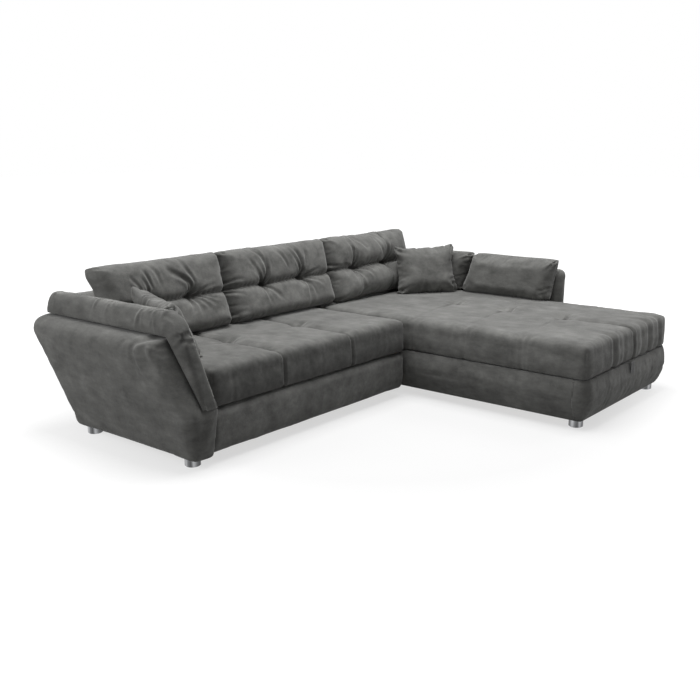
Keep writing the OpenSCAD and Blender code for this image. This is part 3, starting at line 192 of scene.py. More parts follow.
class Graph:
    """Short hand for building one node material around a Principled shader."""

    def __init__(self, name):
        self.mat = bpy.data.materials.new(name)
        self.tree = empty_tree(self.mat)
        self.shader = self.add("BsdfPrincipled")
        self.add("OutputMaterial", (("Surface", self.shader.outputs[0]),))
        coord = self.add("TexCoord")
        self.coord, self.normal = coord.outputs["Object"], coord.outputs["Normal"]

    def add(self, kind, sockets=(), operation=None):
        return add_node(self.tree, kind, sockets, operation)

    def noise(self, scale, detail=3.0, rough=0.5, stretch=None):
        source = self.coord
        if stretch:
            source = self.add("Mapping", (("Vector", source), ("Scale", stretch))).outputs[0]
        return self.add("TexNoise", (("Vector", source), ("Scale", scale), ("Detail", detail),
                                     ("Roughness", rough))).outputs["Fac"]

    def wave(self, direction, scale, distortion, detail):
        node = self.add("TexWave", (("Vector", self.coord), ("Scale", scale),
                                    ("Distortion", distortion), ("Detail", detail)))
        node.bands_direction = direction
        return node.outputs["Fac"]

    def math(self, operation, a, b):
        return self.add("Math", ((0, a), (1, b)), operation).outputs[0]

    def scaled(self, value, factor, plus):
        """value times factor, plus a number or another output."""
        return self.math("ADD", self.math("MULTIPLY", value, factor), plus)

    def ramp(self, fac, stops):
        node = self.add("ValToRGB", (("Fac", fac),))
        ramp = node.color_ramp
        while len(ramp.elements) < len(stops):
            ramp.elements.new(0.5)
        for element, (at, colour) in zip(ramp.elements, stops):
            element.position = at
            element.color = (*colour, 1.0)
        return node.outputs["Color"]

    def bump(self, height, strength, distance, below=None):
        sockets = [("Height", height), ("Strength", strength), ("Distance", distance)]
        if below is not None:
            sockets.append(("Normal", below))
        return self.add("Bump", sockets).outputs["Normal"]

    def finish(self, colour, rough, normal, *more):
        """Fills the shader's sockets and gives back the material."""
        plug(self.tree, self.shader, (("Base Color", colour), ("Roughness", rough),
                                      ("Normal", normal), *more))
        return self.mat


FABRIC_LEVEL = 0.140
FABRIC_TINT = (1.0, 1.0, 0.955)
# Places on the mottling's ramp, and the share of the fabric's level there
NAP_STOPS = ((0.34, 0.62), (0.46, 0.90), (0.55, 1.10), (0.68, 1.50))
# The chrome's painted reflection bands lie across this direction, roughly the camera's right
REFLECTION_WAY = (0.604, -0.797, 0.0)


def suede(name, level, front_shade=0.0):
    """Brushed microfibre: soft mottling, darker and lighter strokes of the nap, fine fuzz.
    Its last argument is painted shade: faces that look to the front are darkened by that share."""
    g = Graph(name)
    strokes = g.noise(24.0, 4.0, 0.62, (1.0, 0.5, 1.35))
    mixed = g.scaled(g.noise(8.0, 4.0, 0.62), 0.50, g.math("MULTIPLY", strokes, 0.38))
    mixed = g.scaled(g.noise(240.0, 2.0, 0.6), 0.12, mixed)
    colour = g.ramp(mixed, [(at, tuple(level * share * t for t in FABRIC_TINT))
                            for at, share in NAP_STOPS])
    # Painted shade: faces that look to the front are darkened
    if front_shade:
        split = g.add("SeparateXYZ", ((0, g.normal),))
        facing = g.math("MAXIMUM", g.math("MULTIPLY", split.outputs["Y"], -1.0), 0.0)
        share = g.math("SUBTRACT", 1.0, g.math("MULTIPLY", facing, front_shade))
        colour = g.add("VectorMath", ((0, colour), ("Scale", share)), "SCALE").outputs[0]
    soft = g.bump(g.noise(55.0, 3.0, 0.55), 0.30, 0.004)
    fuzz = g.bump(g.noise(900.0, 2.0, 0.6), 0.35, 0.0006, soft)
    return g.finish(colour, g.scaled(strokes, 0.16, 0.76), fuzz, ("Sheen Weight", 0.24),
                    ("Sheen Roughness", 0.42), ("Specular IOR Level", 0.08))


def woven(name, level, sheen=0.1):
    """Plain weave: two crossed wave patterns with a little variation of colour."""
    g = Graph(name)
    weave = g.math("MULTIPLY", g.wave("X", 320.0, 1.2, 1.0), g.wave("Y", 320.0, 1.2, 1.0))
    fade = g.scaled(weave, 0.5, g.math("MULTIPLY", g.noise(9.0), 0.5))
    colour = g.ramp(fade, [(0.2, tuple(0.78 * c for c in level)), (0.7, level)])
    return g.finish(colour, g.scaled(weave, 0.1, 0.8), g.bump(weave, 0.35, 0.0006),
                    ("Sheen Weight", sheen), ("Specular IOR Level", 0.2))


def plywood(name):
    g = Graph(name)
    grain = g.noise(14.0, 5.0, 0.6, (0.6, 9.0, 9.0))
    both = g.scaled(grain, 0.7, g.math("MULTIPLY", g.wave("X", 3.0, 6.0, 3.0), 0.3))
    stops = [(0.3, (0.42, 0.27, 0.14)), (0.55, (0.60, 0.43, 0.25)), (0.8, (0.70, 0.53, 0.33))]
    return g.finish(g.ramp(both, stops), g.scaled(grain, 0.2, 0.45), g.bump(grain, 0.15, 0.0006))


def metal(name, colour, rough, scratch, stretch, painted_reflections=()):
    """Brushed metal. Its last argument gives (place, level) stops of painted reflections: the light
    and dark bands that a room would leave in it, since the white studio gives nothing to reflect."""
    g = Graph(name)
    lines = g.noise(60.0, 4.0, 0.7, stretch)
    base = g.ramp(lines, [(0.35, tuple(0.86 * c for c in colour)), (0.65, colour)])
    # Painted reflection: light and dark bands set by the way the surface faces
    if painted_reflections:
        across = g.add("VectorMath", ((0, g.normal), (1, REFLECTION_WAY)), "DOT_PRODUCT")
        shade = g.ramp(g.scaled(across.outputs["Value"], 0.5, 0.5),
                       [(at, (v, v, v)) for at, v in painted_reflections])
        base = g.add("VectorMath", ((0, base), (1, shade)), "MULTIPLY").outputs[0]
    return g.finish(base, g.scaled(lines, scratch, rough), g.bump(lines, 0.06, 0.0004),
                    ("Metallic", 1.0))


def dull(name, colour, rough, speckle):
    """Plastic, rubber or paint with fine speckle and a little dust."""
    g = Graph(name)
    fine = g.noise(speckle, 3.0, 0.6)
    dusty = tuple(min(1.0, 1.7 * c + 0.01) for c in colour)
    shade = g.ramp(g.noise(12.0, 3.0, 0.5), [(0.4, colour), (0.75, dusty)])
    return g.finish(shade, g.scaled(fine, 0.2, rough), g.bump(fine, 0.2, 0.0005))
FABRIC = suede("fabric_suede", FABRIC_LEVEL)
# Copies of the fabric with painted shade on the faces that look to the front: strong for the seat
# and pad, slight for the arm
FABRIC_FRONT_SHADED = suede("fabric_suede_front_shaded", FABRIC_LEVEL, 0.40)
FABRIC_ARM_FRONT_SHADED = suede("fabric_suede_arm_front_shaded", FABRIC_LEVEL, 0.12)
# The piping is a real sewn cord; its lighter level is a painted highlight along the arm pad's crest
PIPING_HIGHLIGHT = suede("fabric_piping_highlight", FABRIC_LEVEL * 1.6)
WEBBING = woven("webbing", (0.15, 0.15, 0.15))
TICKING = woven("ticking", (0.62, 0.60, 0.56), 0.2)
WOOD = plywood("plywood")
# Chrome with painted reflections: light and dark bands by the way the surface faces
CHROME = metal("chrome", (0.70, 0.71, 0.73), 0.07, 0.06, (1.0, 1.0, 14.0),
               ((0.0, 0.20), (0.16, 0.85), (0.32, 0.30), (0.5, 0.16), (0.66, 0.75), (0.84, 0.30),
                (1.0, 0.14)))
STEEL = metal("zinc_steel", (0.60, 0.61, 0.64), 0.32, 0.20, (8.0, 1.0, 1.0))
PLASTIC = dull("black_plastic", (0.025, 0.025, 0.027), 0.42, 300.0)
RUBBER = dull("wheel_rubber", (0.03, 0.03, 0.03), 0.66, 220.0)
PAINT = dull("black_paint", (0.02, 0.02, 0.022), 0.25, 500.0)

SLOT_LOOKS = {
    "upholstery_fabric": FABRIC, "pull_webbing": WEBBING, "mattress_cover": TICKING,
    "wood_board": WOOD, "polished_metal": CHROME, "zinc_steel": STEEL,
    "black_plastic": PLASTIC, "wheel_rubber": RUBBER, "black_paint": PAINT,
}


def dress_nodes():
    """Gives every carried-over CAD node the material of its slot in the record."""
    slots = {s["node"]: s["material_slot"] for s in frame["record"]["subparts"]}
    for name, obj in NODES.items():
        obj.data.materials.clear()
        obj.data.materials.append(SLOT_LOOKS[slots[name]])


dress_nodes()

# ---------------------------------------------------------------- mesh tools


def make_piece(name, points, faces, material, body, node):
    mesh = bpy.data.meshes.new(name)
    mesh.from_pydata([tuple(p) for p in points], [], [tuple(f) for f in faces])
    mesh.update()
    mesh.materials.append(material)
    mesh.polygons.foreach_set("use_smooth", [True] * len(mesh.polygons))
    obj = bpy.data.objects.new(name, mesh)
    bpy.context.collection.objects.link(obj)
    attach(obj, body)
    if node:
        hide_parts(node)
    return obj


def vectors(obj, what):
    out = np.empty(len(obj.data.vertices) * 3)
    obj.data.vertices.foreach_get(what, out)
    return out.reshape(-1, 3)


def get_points(obj):
    return vectors(obj, "co")


def set_points(obj, points):
    obj.data.vertices.foreach_set("co", np.ascontiguousarray(points).ravel())
    obj.data.update()


def bump(t, reach):
    return np.exp(-(t / reach) ** 2)


def crease(t, reach):
    return np.exp(-np.abs(t) / reach)


def fall(t, reach):
    """1 well below t = 0, 0 well above it."""
    return 1 / (1 + np.exp(t / reach))


def cos_sin(degrees):
    return math.cos(math.radians(degrees)), math.sin(math.radians(degrees))


def run_along(way):
    """Length along a way of points, from its start to each of them."""
    return np.concatenate([[0], np.cumsum(np.hypot(*np.diff(way, axis=0).T))])


def grid_faces(rows, columns):
    return [(a, a + 1, a + columns + 1, a + columns)
            for r in range(rows - 1) for a in range(r * columns, (r + 1) * columns - 1)]


def ring_faces(rings, n):
    """Faces of a row of closed rings of n points, with a cap at each end."""
    faces = [(r * n + c, r * n + (c + 1) % n, (r + 1) * n + (c + 1) % n, (r + 1) * n + c)
             for r in range(rings - 1) for c in range(n)]
    return faces + [tuple(range(n - 1, -1, -1)), tuple(range((rings - 1) * n, rings * n))]


RIPPLE_WAVES = 7


def ripple(points, wave, seed):
    """Smooth random field with about the given wavelength, between -1 and 1."""
    rng = np.random.default_rng(seed)
    total = np.zeros(len(points))
    for _ in range(RIPPLE_WAVES):
        way = rng.normal(size=3)
        way *= 2 * math.pi / wave / np.linalg.norm(way) * rng.uniform(0.7, 1.4)
        total += np.sin(points @ way + rng.uniform(0, 2 * math.pi))
    return total / math.sqrt(RIPPLE_WAVES) / 1.4


def rim_profile(roll, height, power, steps):
    """Evenly spaced stations of a rolled edge: share of the roll, share of the height."""
    a = np.linspace(0, math.pi / 2, 200)
    across = np.sin(a) ** (2 / power)
    up = np.cos(a) ** (2 / power)
    pieces = np.hypot(np.diff(across) * roll, np.diff(up) * height)
    length = np.concatenate([[0], np.cumsum(pieces)])
    at = np.linspace(0, length[-1], steps + 1)
    return np.interp(at, length, across), np.interp(at, length, up)


# At a mark the grid lines lie up to 1 + MARK_CROWD times closer, fading over MARK_REACH
MARK_CROWD, MARK_REACH = 1.8, 24


def stations(half, roll, cell, across, marks=()):
    """Grid lines across a form, closer together at the marks."""
    steps, samples = len(across) - 1, 2000
    fine = np.linspace(roll - half, half - roll, samples)
    crowd = sum((bump(fine - m, MARK_REACH) for m in marks), np.zeros(samples))
    weight = 1 + MARK_CROWD * crowd
    run = np.concatenate([[0], np.cumsum((weight[1:] + weight[:-1]) / 2)])
    count = max(2, int(round(run[-1] / (samples - 1) * 2 * (half - roll) / cell)) + 1)
    inner = np.interp(np.linspace(0, run[-1], count), run, fine)
    rim = half - roll + roll * across[1:]
    depth = np.concatenate([np.arange(steps, 0, -1), np.zeros(len(inner), int),
                            np.arange(1, steps + 1)])
    return np.concatenate([-rim[::-1], inner, rim]), depth


class Form:
    """A closed soft form over a grid: a front and a rear skin that meet in a seam. roll and
    height size its rolled edge, power shapes it, cell and steps are the grid's size on the flat
    and count over the edge, ear and corner draw the sides and corners in."""

    def __init__(self, half, roll, height, power, cell, steps, ear, corner, rear_power=None,
                 marks=((), ()), turn=5.0):
        across, up = rim_profile(sum(roll) / 2, height, power, steps)
        below = rear_power or power
        up_rear = (1 - np.minimum(across, 1.0) ** below) ** (1 / below)
        xs, dx = stations(half[0], roll[0], cell, across, marks[0])
        ys, dy = stations(half[1], roll[1], cell, across, marks[1])
        grid_x, grid_y = np.meshgrid(xs, ys, indexing="ij")
        depth = np.maximum(dx[:, None], dy[None, :])
        u, v = grid_x / half[0], grid_y / half[1]
        powers = (turn, turn) if turn else (half[0] / corner, half[1] / corner)
        pull = corner * np.abs(u) ** powers[0] * np.abs(v) ** powers[1]
        self.x = grid_x * (1 - ear[0] / half[0] * (1 - v * v)) - np.sign(grid_x) * pull
        self.y = grid_y * (1 - ear[1] / half[1] * (1 - u * u)) - np.sign(grid_y) * pull
        self.share, self.rear_share = up[depth], up_rear[depth]
        self.depth, self.steps = depth, steps

    def build(self, front, rear, put, name, body, material=FABRIC):
        """Makes the piece. front and rear give the height of each skin at x, y, and put carries
        x, y and height to the landmark frame."""
        nx, ny = self.x.shape
        inside = (slice(1, -1), slice(1, -1))
        fx, fy = self.x.ravel(), self.y.ravel()
        rx, ry = self.x[inside].ravel(), self.y[inside].ravel()
        fz = self.share.ravel() * front(fx, fy)
        rz = -self.rear_share[inside].ravel() * rear(rx, ry)
        self.px, self.py = np.concatenate([fx, rx]), np.concatenate([fy, ry])
        self.is_rear = np.concatenate([np.zeros(len(fx), bool), np.ones(len(rx), bool)])
        self.rim = np.concatenate([self.depth.ravel(), self.depth[inside].ravel()])
        at = np.arange(nx * ny).reshape(nx, ny)
        back = at.copy()
        back[inside] = nx * ny + np.arange((nx - 2) * (ny - 2)).reshape(nx - 2, ny - 2)
        quads = []
        for grid, order in ((at, (0, 1, 2, 3)), (back, (0, 3, 2, 1))):
            corners = (grid[:-1, :-1], grid[1:, :-1], grid[1:, 1:], grid[:-1, 1:])
            quads.append(np.stack([corners[k].ravel() for k in order], axis=1))
        points = place(put(self.px, self.py, np.concatenate([fz, rz])))
        return make_piece(name, points, np.concatenate(quads), material, body, name)


CLOTH_FRAMES = 18


def inflate(obj, hold, cap, shrink):
    """Cloth pressure run on a piece. hold is 1 where the cover is sewn down or rests, and no
    point moves more than cap millimetres."""
    start = get_points(obj)
    group = obj.vertex_groups.new(name="held")
    tenths = np.round(hold, 1)
    for value in np.unique(tenths):
        if value > 0:
            members = np.nonzero(tenths == value)[0]
            group.add([int(i) for i in members], float(value), "REPLACE")
    mod = obj.modifiers.new("cloth", "CLOTH")
    cloth = mod.settings
    cloth.quality = 4
    cloth.mass = 0.25
    cloth.use_pressure = True
    cloth.uniform_pressure_force = 4.0
    cloth.vertex_group_mass = "held"
    cloth.shrink_min = shrink
    cloth.bending_stiffness = 0.4
    cloth.tension_stiffness = 12
    cloth.compression_stiffness = 8
    cloth.effector_weights.gravity = 0
    mod.collision_settings.use_collision = False
    mod.point_cache.frame_start = 1
    mod.point_cache.frame_end = CLOTH_FRAMES + 1
    scene = bpy.context.scene
    for step in range(1, CLOTH_FRAMES + 1):
        scene.frame_set(step)
    posed = obj.evaluated_get(bpy.context.evaluated_depsgraph_get())
    move = get_points(posed) - start
    far = np.linalg.norm(move, axis=1, keepdims=True)
    move *= np.minimum(1.0, cap * MM / np.maximum(far, 1e-9))
    obj.modifiers.remove(mod)
    scene.frame_set(1)
    obj.vertex_groups.clear()
    set_points(obj, start + move)


RELAX_ROUNDS, RELAX_SHARE = 2, 0.4


def relax(obj, keep=0.0):
    """Smooths the mesh a little. keep is 1 where points must stay."""
    edges = np.empty(len(obj.data.edges) * 2, dtype=np.int64)
    obj.data.edges.foreach_get("vertices", edges)
    edges = edges.reshape(-1, 2)
    points = get_points(obj)
    count = np.bincount(edges.ravel(), minlength=len(points))[:, None]
    free = (1.0 - keep * np.ones(len(points)))[:, None]
    for _ in range(RELAX_ROUNDS):
        total = np.zeros_like(points)
        np.add.at(total, edges[:, 0], points[edges[:, 1]])
        np.add.at(total, edges[:, 1], points[edges[:, 0]])
        points = points + (total / np.maximum(count, 1) - points) * RELAX_SHARE * free
    set_points(obj, points)


def normals(obj):
    return vectors(obj, "normal")


def push(obj, amount):
    """Moves each point along its normal by amount, in millimetres."""
    set_points(obj, get_points(obj) + normals(obj) * (amount * MM)[:, None])


def soften(obj):
    """Last step of a padded piece: one level of subdivision."""
    mod = obj.modifiers.new("smooth", "SUBSURF")
    mod.levels = mod.render_levels = 1


def folds(x, y, lines):
    """Folds of a gathered cover. Each line is (width, depth, (x, y), (x, y), ...) in millimetres,
    drawn from where the cover is held outwards."""
    total = np.zeros_like(x)
    u = np.linspace(0, 1, 26)
    for width, depth, *way in lines:
        way = np.array(way, dtype=float)
        run = run_along(way)
        cx, cy = (np.polyval(np.polyfit(run / run[-1], way[:, k], len(way) - 1), u)
                  for k in (0, 1))
        tx, ty = np.gradient(cx), np.gradient(cy)
        size = np.hypot(tx, ty)
        gap = np.hypot(x[:, None] - cx, y[:, None] - cy)
        k = gap.argmin(axis=1)
        side = ((x - cx[k]) * ty[k] - (y - cy[k]) * tx[k]) / size[k]
        past = np.sqrt(np.maximum(gap[np.arange(len(x)), k] ** 2 - side ** 2, 0))
        t = side / (width * (0.65 + 0.6 * u[k]))
        fade = (1 - u[k] ** 2.5) * bump(past, width)
        valley = np.exp(-np.abs(t) ** 1.5)
        ridge = 0.50 * bump(t - 1.8, 1) + 0.38 * bump(t + 1.8, 1)
        total += depth * fade * (ridge - valley)
    return total


def corner_folds(half, inset, spread_deg, length, depth, seed, width=(6.5, 9.0)):
    """Short folds that run inwards from the four corners of a cushion."""
    rng = np.random.default_rng(seed)
    lines = []
    for sx in (-1, 1):
        for sy in (-1, 1):
            x, y = sx * (half[0] - inset), sy * (half[1] - inset)
            inward = math.degrees(math.atan2(-sy * 0.8, -sx))
            for turn in spread_deg:
                a = math.radians(inward + turn + rng.uniform(-6, 6))
                far = rng.uniform(*length)
                bow = rng.uniform(-0.12, 0.12) * far
                mid = (x + 0.5 * far * math.cos(a) - bow * math.sin(a),
                       y + 0.5 * far * math.sin(a) + bow * math.cos(a))
                lines.append((rng.uniform(*width), rng.uniform(*depth), (x, y), mid,
                              (x + far * math.cos(a), y + far * math.sin(a))))
    return lines


def edge_folds(half, count, length, depth, seed, width=(6.0, 8.5)):
    """Short gathers that run inwards from the sewn edge of a cushion."""
    rng = np.random.default_rng(seed)
    lines = []
    for side in range(4):
        for _ in range(count):
            axis, sign = side // 2, 1 if side % 2 else -1
            at = rng.uniform(-0.8, 0.8) * half[1 - axis]
            far, lean = rng.uniform(*length), rng.uniform(-0.5, 0.5)
            root, tip = [0.0, 0.0], [0.0, 0.0]
            root[axis], root[1 - axis] = sign * (half[axis] - 6), at
            tip[axis], tip[1 - axis] = sign * (half[axis] - 6 - far), at + lean * far
            lines.append((rng.uniform(*width), rng.uniform(*depth), tuple(root), tuple(tip)))
    return lines


def settle(obj, hold, cap, shrink):
    """Cloth run followed by a light smoothing that leaves the held points alone."""
    inflate(obj, hold, cap, shrink)
    relax(obj, hold)


def pin(hold, where, share):
    """hold, raised to share at the points where the condition holds."""
    return np.maximum(hold, np.where(where, share, 0))


def span(*ways):
    """Half lengths and middles of (low, high) pairs."""
    return [(high - low) / 2 for low, high in ways], [(low + high) / 2 for low, high in ways]


def even(height):
    """A skin of one height all over."""
    return lambda x, y: np.full_like(x, height)


def clip(obj, low=(None, None, None), high=(None, None, None)):
    """Keeps a piece inside planes of the landmark frame, given in millimetres."""
    points = get_points(obj)
    origin = (ORIGIN_X, ORIGIN_Y, 0.0)
    for axis in range(3):
        for limit, pick in ((low[axis], np.maximum), (high[axis], np.minimum)):
            if limit is not None:
                points[:, axis] = pick(points[:, axis], (limit - origin[axis]) * MM)
    set_points(obj, points)


def landmark(obj):
    """Points of a piece in millimetres of the landmark frame."""
    q = get_points(obj) / MM
    q[:, 0] += ORIGIN_X
    q[:, 1] += ORIGIN_Y
    return q


def wrinkles(points, wave, height, seed):
    """Low uneven relief of a slack cover, in millimetres."""
    return height * (ripple(points, wave, seed) + 0.5 * ripple(points, wave * 0.45, seed + 1))


def pucker(along, across, depth, width, wave, seed):
    """A sewn line drawn into padding, with small gathers that run off to both sides."""
    rng = np.random.default_rng(seed)
    shift = rng.uniform(0, 6.28)
    gather = np.sin(along * 2 * math.pi / wave + 1.7 * np.sin(along / (1.9 * wave) + shift))
    return -depth * crease(across, width) + 0.16 * depth * gather * bump(across, 3.2 * width)


# ---------------------------------------------------------------- seat mattresses

MAT_SPLIT, MAT_ROLL = 62.0, 62.0


def mattress(name, x0, x1, y0, y1, seams, tufts, marks, lines, body, top, seed, tail=None,
             corner=14, material=FABRIC):
    """Sewn seat mattress. seams are (axis, place, from, to) lines in the landmark frame, lines
    are folds drawn in it, and top gives the height at x, y that it stays below."""
    half, mid = span((x0, x1), (y0, y1))
    marks = tuple([m - mid[k] for m in places] for k, places in enumerate(marks))
    form = Form(half, (MAT_ROLL, MAT_ROLL), 110, power=5.5, rear_power=9.0, cell=13.0, steps=10,
                ear=(3, 3), corner=corner, marks=marks, turn=None)
    sewn = [(axis, at - mid[axis], low - mid[1 - axis], high - mid[1 - axis])
            for axis, at, low, high in seams]
    points = [(a - mid[0], b - mid[1]) for a, b in tufts]

    def line_terms(x, y):
        for axis, at, low, high in sewn:
            across, along = (x - at, y) if axis == 0 else (y - at, x)
            fade = 1 / (1 + np.exp((low - along) / 6)) / (1 + np.exp((along - high) / 6))
            yield across, along, fade

    def front(x, y):
        z = np.full_like(x, SEAT_H - SEAM_H - MAT_SPLIT - 2.0)
        for across, along, fade in line_terms(x, y):
            z -= 8 * fade * bump(across, 26)
        for a, b in points:
            z -= 15 * bump(np.hypot((x - a) / 1.3, y - b), 40)
        return z

    def put(x, y, z):
        if tail:
            edge = half[1] - MAT_ROLL
            y = np.where(y < edge, y, half[1] - (half[1] - y) * tail / MAT_ROLL)
        return np.stack([mid[0] + x, mid[1] + y, SEAM_H + MAT_SPLIT + z], axis=1)

    obj = form.build(front, even(MAT_SPLIT - 1.0), put, name, body, material)
    x, y = form.px, form.py
    hold = np.where(form.is_rear & (form.rim < 6), 1.0, 0.0)
    hold = np.where(~form.is_rear & (form.rim > 2) & (form.rim < 8), 0.7, hold)
    hold = np.where(y > half[1] - 40, 1.0, hold)
    for across, along, fade in line_terms(x, y):
        hold = pin(hold, (np.abs(across) < 8) & (fade > 0.5) & ~form.is_rear, 0.9)
    for a, b in points:
        hold = pin(hold, np.hypot(x - a, y - b) < 16, 1.0)
    settle(obj, hold, 7, -0.012)
    side = np.where(form.is_rear, np.clip(form.rim / 5.0, 0, 1), 1.0)
    detail = wrinkles(get_points(obj), 0.17, 0.9, seed) * side
    for k, (across, along, fade) in enumerate(line_terms(x, y)):
        weak = np.where(form.rim > 4, 0.45, 1.0)
        detail += pucker(along, across, 9.0, 7.0, 34.0, seed + k) * fade * side * weak
    for a, b in points:
        detail += -15 * bump(np.hypot((x - a) / 1.8, y - b), 11) * side
    drawn = [(width, depth) + tuple((a - mid[0], b - mid[1]) for a, b in way)
             for width, depth, *way in lines]
    detail += folds(x, y, drawn) * side
    rim = bump(form.rim - form.steps * 0.42, form.steps * 0.22) * np.where(form.is_rear, 0, 1)
    edge = np.where(half[0] - np.abs(x) < half[1] - np.abs(y), y, x)
    detail += 1.1 * rim * np.sin(edge * 2 * math.pi / 31.0 + 2.4 * np.sin(edge / 57.0 + seed))
    detail += 1.2 * rim * ripple(get_points(obj), 0.05, seed + 5)
    push(obj, detail)
    clip(obj, low=(None, None, SEAM_H), high=(None, y1 + 0.2, None))
    q, points = landmark(obj), get_points(obj)
    points[:, 2] = np.minimum(points[:, 2], top(q[:, 0], q[:, 1]) * MM)
    set_points(obj, points)
    soften(obj)


# How far a seat rises above its height where nothing rests on it
SEAT_CROWN = 5.0


def pillow_mark(x, y, at, reach):
    """1 under a throw pillow, 0 away from it."""
    return np.exp(-(((x - at[0]) / reach[0]) ** 4 + ((y - at[1]) / reach[1]) ** 4))


def main_top(x, y):
    pillow = pillow_mark(x, y, (90, 340), (150, 260))
    return SEAT_H + SEAT_CROWN * fall(y - 455, 18) * (1 - pillow)


def chaise_top(x, y):
    beside = np.where(y < -400, 1.0, fall(x - 2285, 14))
    pillow = pillow_mark(x, y, (2140, 330), (230, 230))
    return SEAT_H + SEAT_CROWN * fall(y - 440, 18) * beside * (1 - pillow)


SEAT_SEAMS = (441.0, 934.0)
TUFT_Y = 352.0
CHAISE_SEAMS = (-645.0, -300.0, 40.0)
TUFT_X = 1979.0
CHAISE_FRONT = -1046

# Gathers where the seat's two seams turn over its front edge, and short slits at the tufts
main_lines = []
for at in SEAT_SEAMS:
    main_lines += [(9, 7, (at, -14), (at - 12, 40), (at - 40, 105)),
                   (8, 5, (at + 6, -14), (at + 26, 30), (at + 62, 66)),
                   (11, 10, (at, TUFT_Y), (at - 48, TUFT_Y - 20), (at - 120, TUFT_Y - 26)),
                   (10, 8, (at, TUFT_Y), (at + 44, TUFT_Y + 16), (at + 100, TUFT_Y + 18))]
main_lines += [(10, 4, (1384, -8), (1350, 22), (1300, 40)),
               (10, 4, (120, -10), (150, 40), (160, 90)),
               (12, 3, (700, -14), (690, 40), (668, 90)),
               (11, 3, (1180, -14), (1172, 30), (1150, 80))]

# The main seat's cover has painted shade on its faces that look to the front
mattress("main_mattress", 3, 1390, -15, 698, [(0, x, -400, 720) for x in SEAT_SEAMS],
         [(x, TUFT_Y) for x in SEAT_SEAMS], (SEAT_SEAMS, (TUFT_Y,)), main_lines, "sofa",
         main_top, 3, material=FABRIC_FRONT_SHADED)

# Seams run from the chaise's tufts to puckers in its left edge, and the cover of its front face
# hangs in upright folds, each (place, width, depth, length)
chaise_lines = []
for at, edge in zip(CHAISE_SEAMS, (-704.0, -368.0, -42.0)):
    chaise_lines += [
        (9, 6, (TUFT_X, at), (1800, at - 6), (1600, 0.5 * (at + edge) - 4), (1440, edge)),
        (11, 12, (1404, edge), (1440, edge + 10), (1495, edge + 36)),
        (9, 8, (1404, edge - 14), (1432, edge - 34), (1466, edge - 50)),
        (13, 13, (TUFT_X, at), (TUFT_X - 60, at + 6), (TUFT_X - 160, at + 4)),
        (11, 9, (TUFT_X, at), (TUFT_X + 50, at + 2), (TUFT_X + 120, at + 10)),
        (9, 5, (2436, at - 20), (2400, at - 10), (2340, at))]
for at, wide, deep, back in ((1722, 30, 9, 120), (1845, 26, 4, 80), (1968, 18, 11, 180),
                             (2075, 26, 5, 90), (2175, 30, 9, 150), (2316, 28, 8, 120)):
    chaise_lines.append((wide, deep, (at, CHAISE_FRONT), (at + 4, CHAISE_FRONT + back * 0.5),
                         (at + 14, CHAISE_FRONT + back)))
chaise_lines += [(22, 5, (1446, -1000), (1486, -976), (1540, -956)),
                 (20, 5, (2410, -1010), (2380, -985), (2330, -970))]

mattress("chaise_mattress", 1407, 2440, CHAISE_FRONT, 595.7,
         [(0, TUFT_X, -1200, CHAISE_SEAMS[0])], [(TUFT_X, y) for y in CHAISE_SEAMS],
         ((1722, TUFT_X, 2161, 2316), CHAISE_SEAMS), chaise_lines, "chaise_lid", chaise_top, 11,
         tail=14, corner=18)

# ---------------------------------------------------------------- back cushions

CUSHION_SINK = 16.0
LEAN_C, LEAN_S = cos_sin(14)
CUSHION_HALF_H = (CREST_H - SEAT_H + CUSHION_SINK) / LEAN_C / 2
BACK_TOP_Y0 = BACK_Y1 + BACK_LEAN - BACK_TOP_T
TURN_C, TURN_S = cos_sin(150)
BACK_TURN_Y = BACK_TOP_Y0 + BACK_R + BACK_R * TURN_C
BACK_TURN_Z = BACK_H - BACK_R + BACK_R * TURN_S
PAD_TOP = ARM_H + PAD_H


def back_front(z):
    return BACK_Y0 + (BACK_TURN_Y - BACK_Y0) * np.clip((z - SEAT_H) / (BACK_TURN_Z - SEAT_H), 0, 1)


def arm_inner(z):
    return -ARM_IN * np.clip((z - ARM_BEND_Z) / (ARM_H - ARM_BEND_Z), 0, 1)


def cushion_limit(z):
    over = np.clip((z - PAD_TOP - 4) / 60, 0, 1)
    return (1 - over) * (arm_inner(z) + 3) - over * CUSHION_OVER


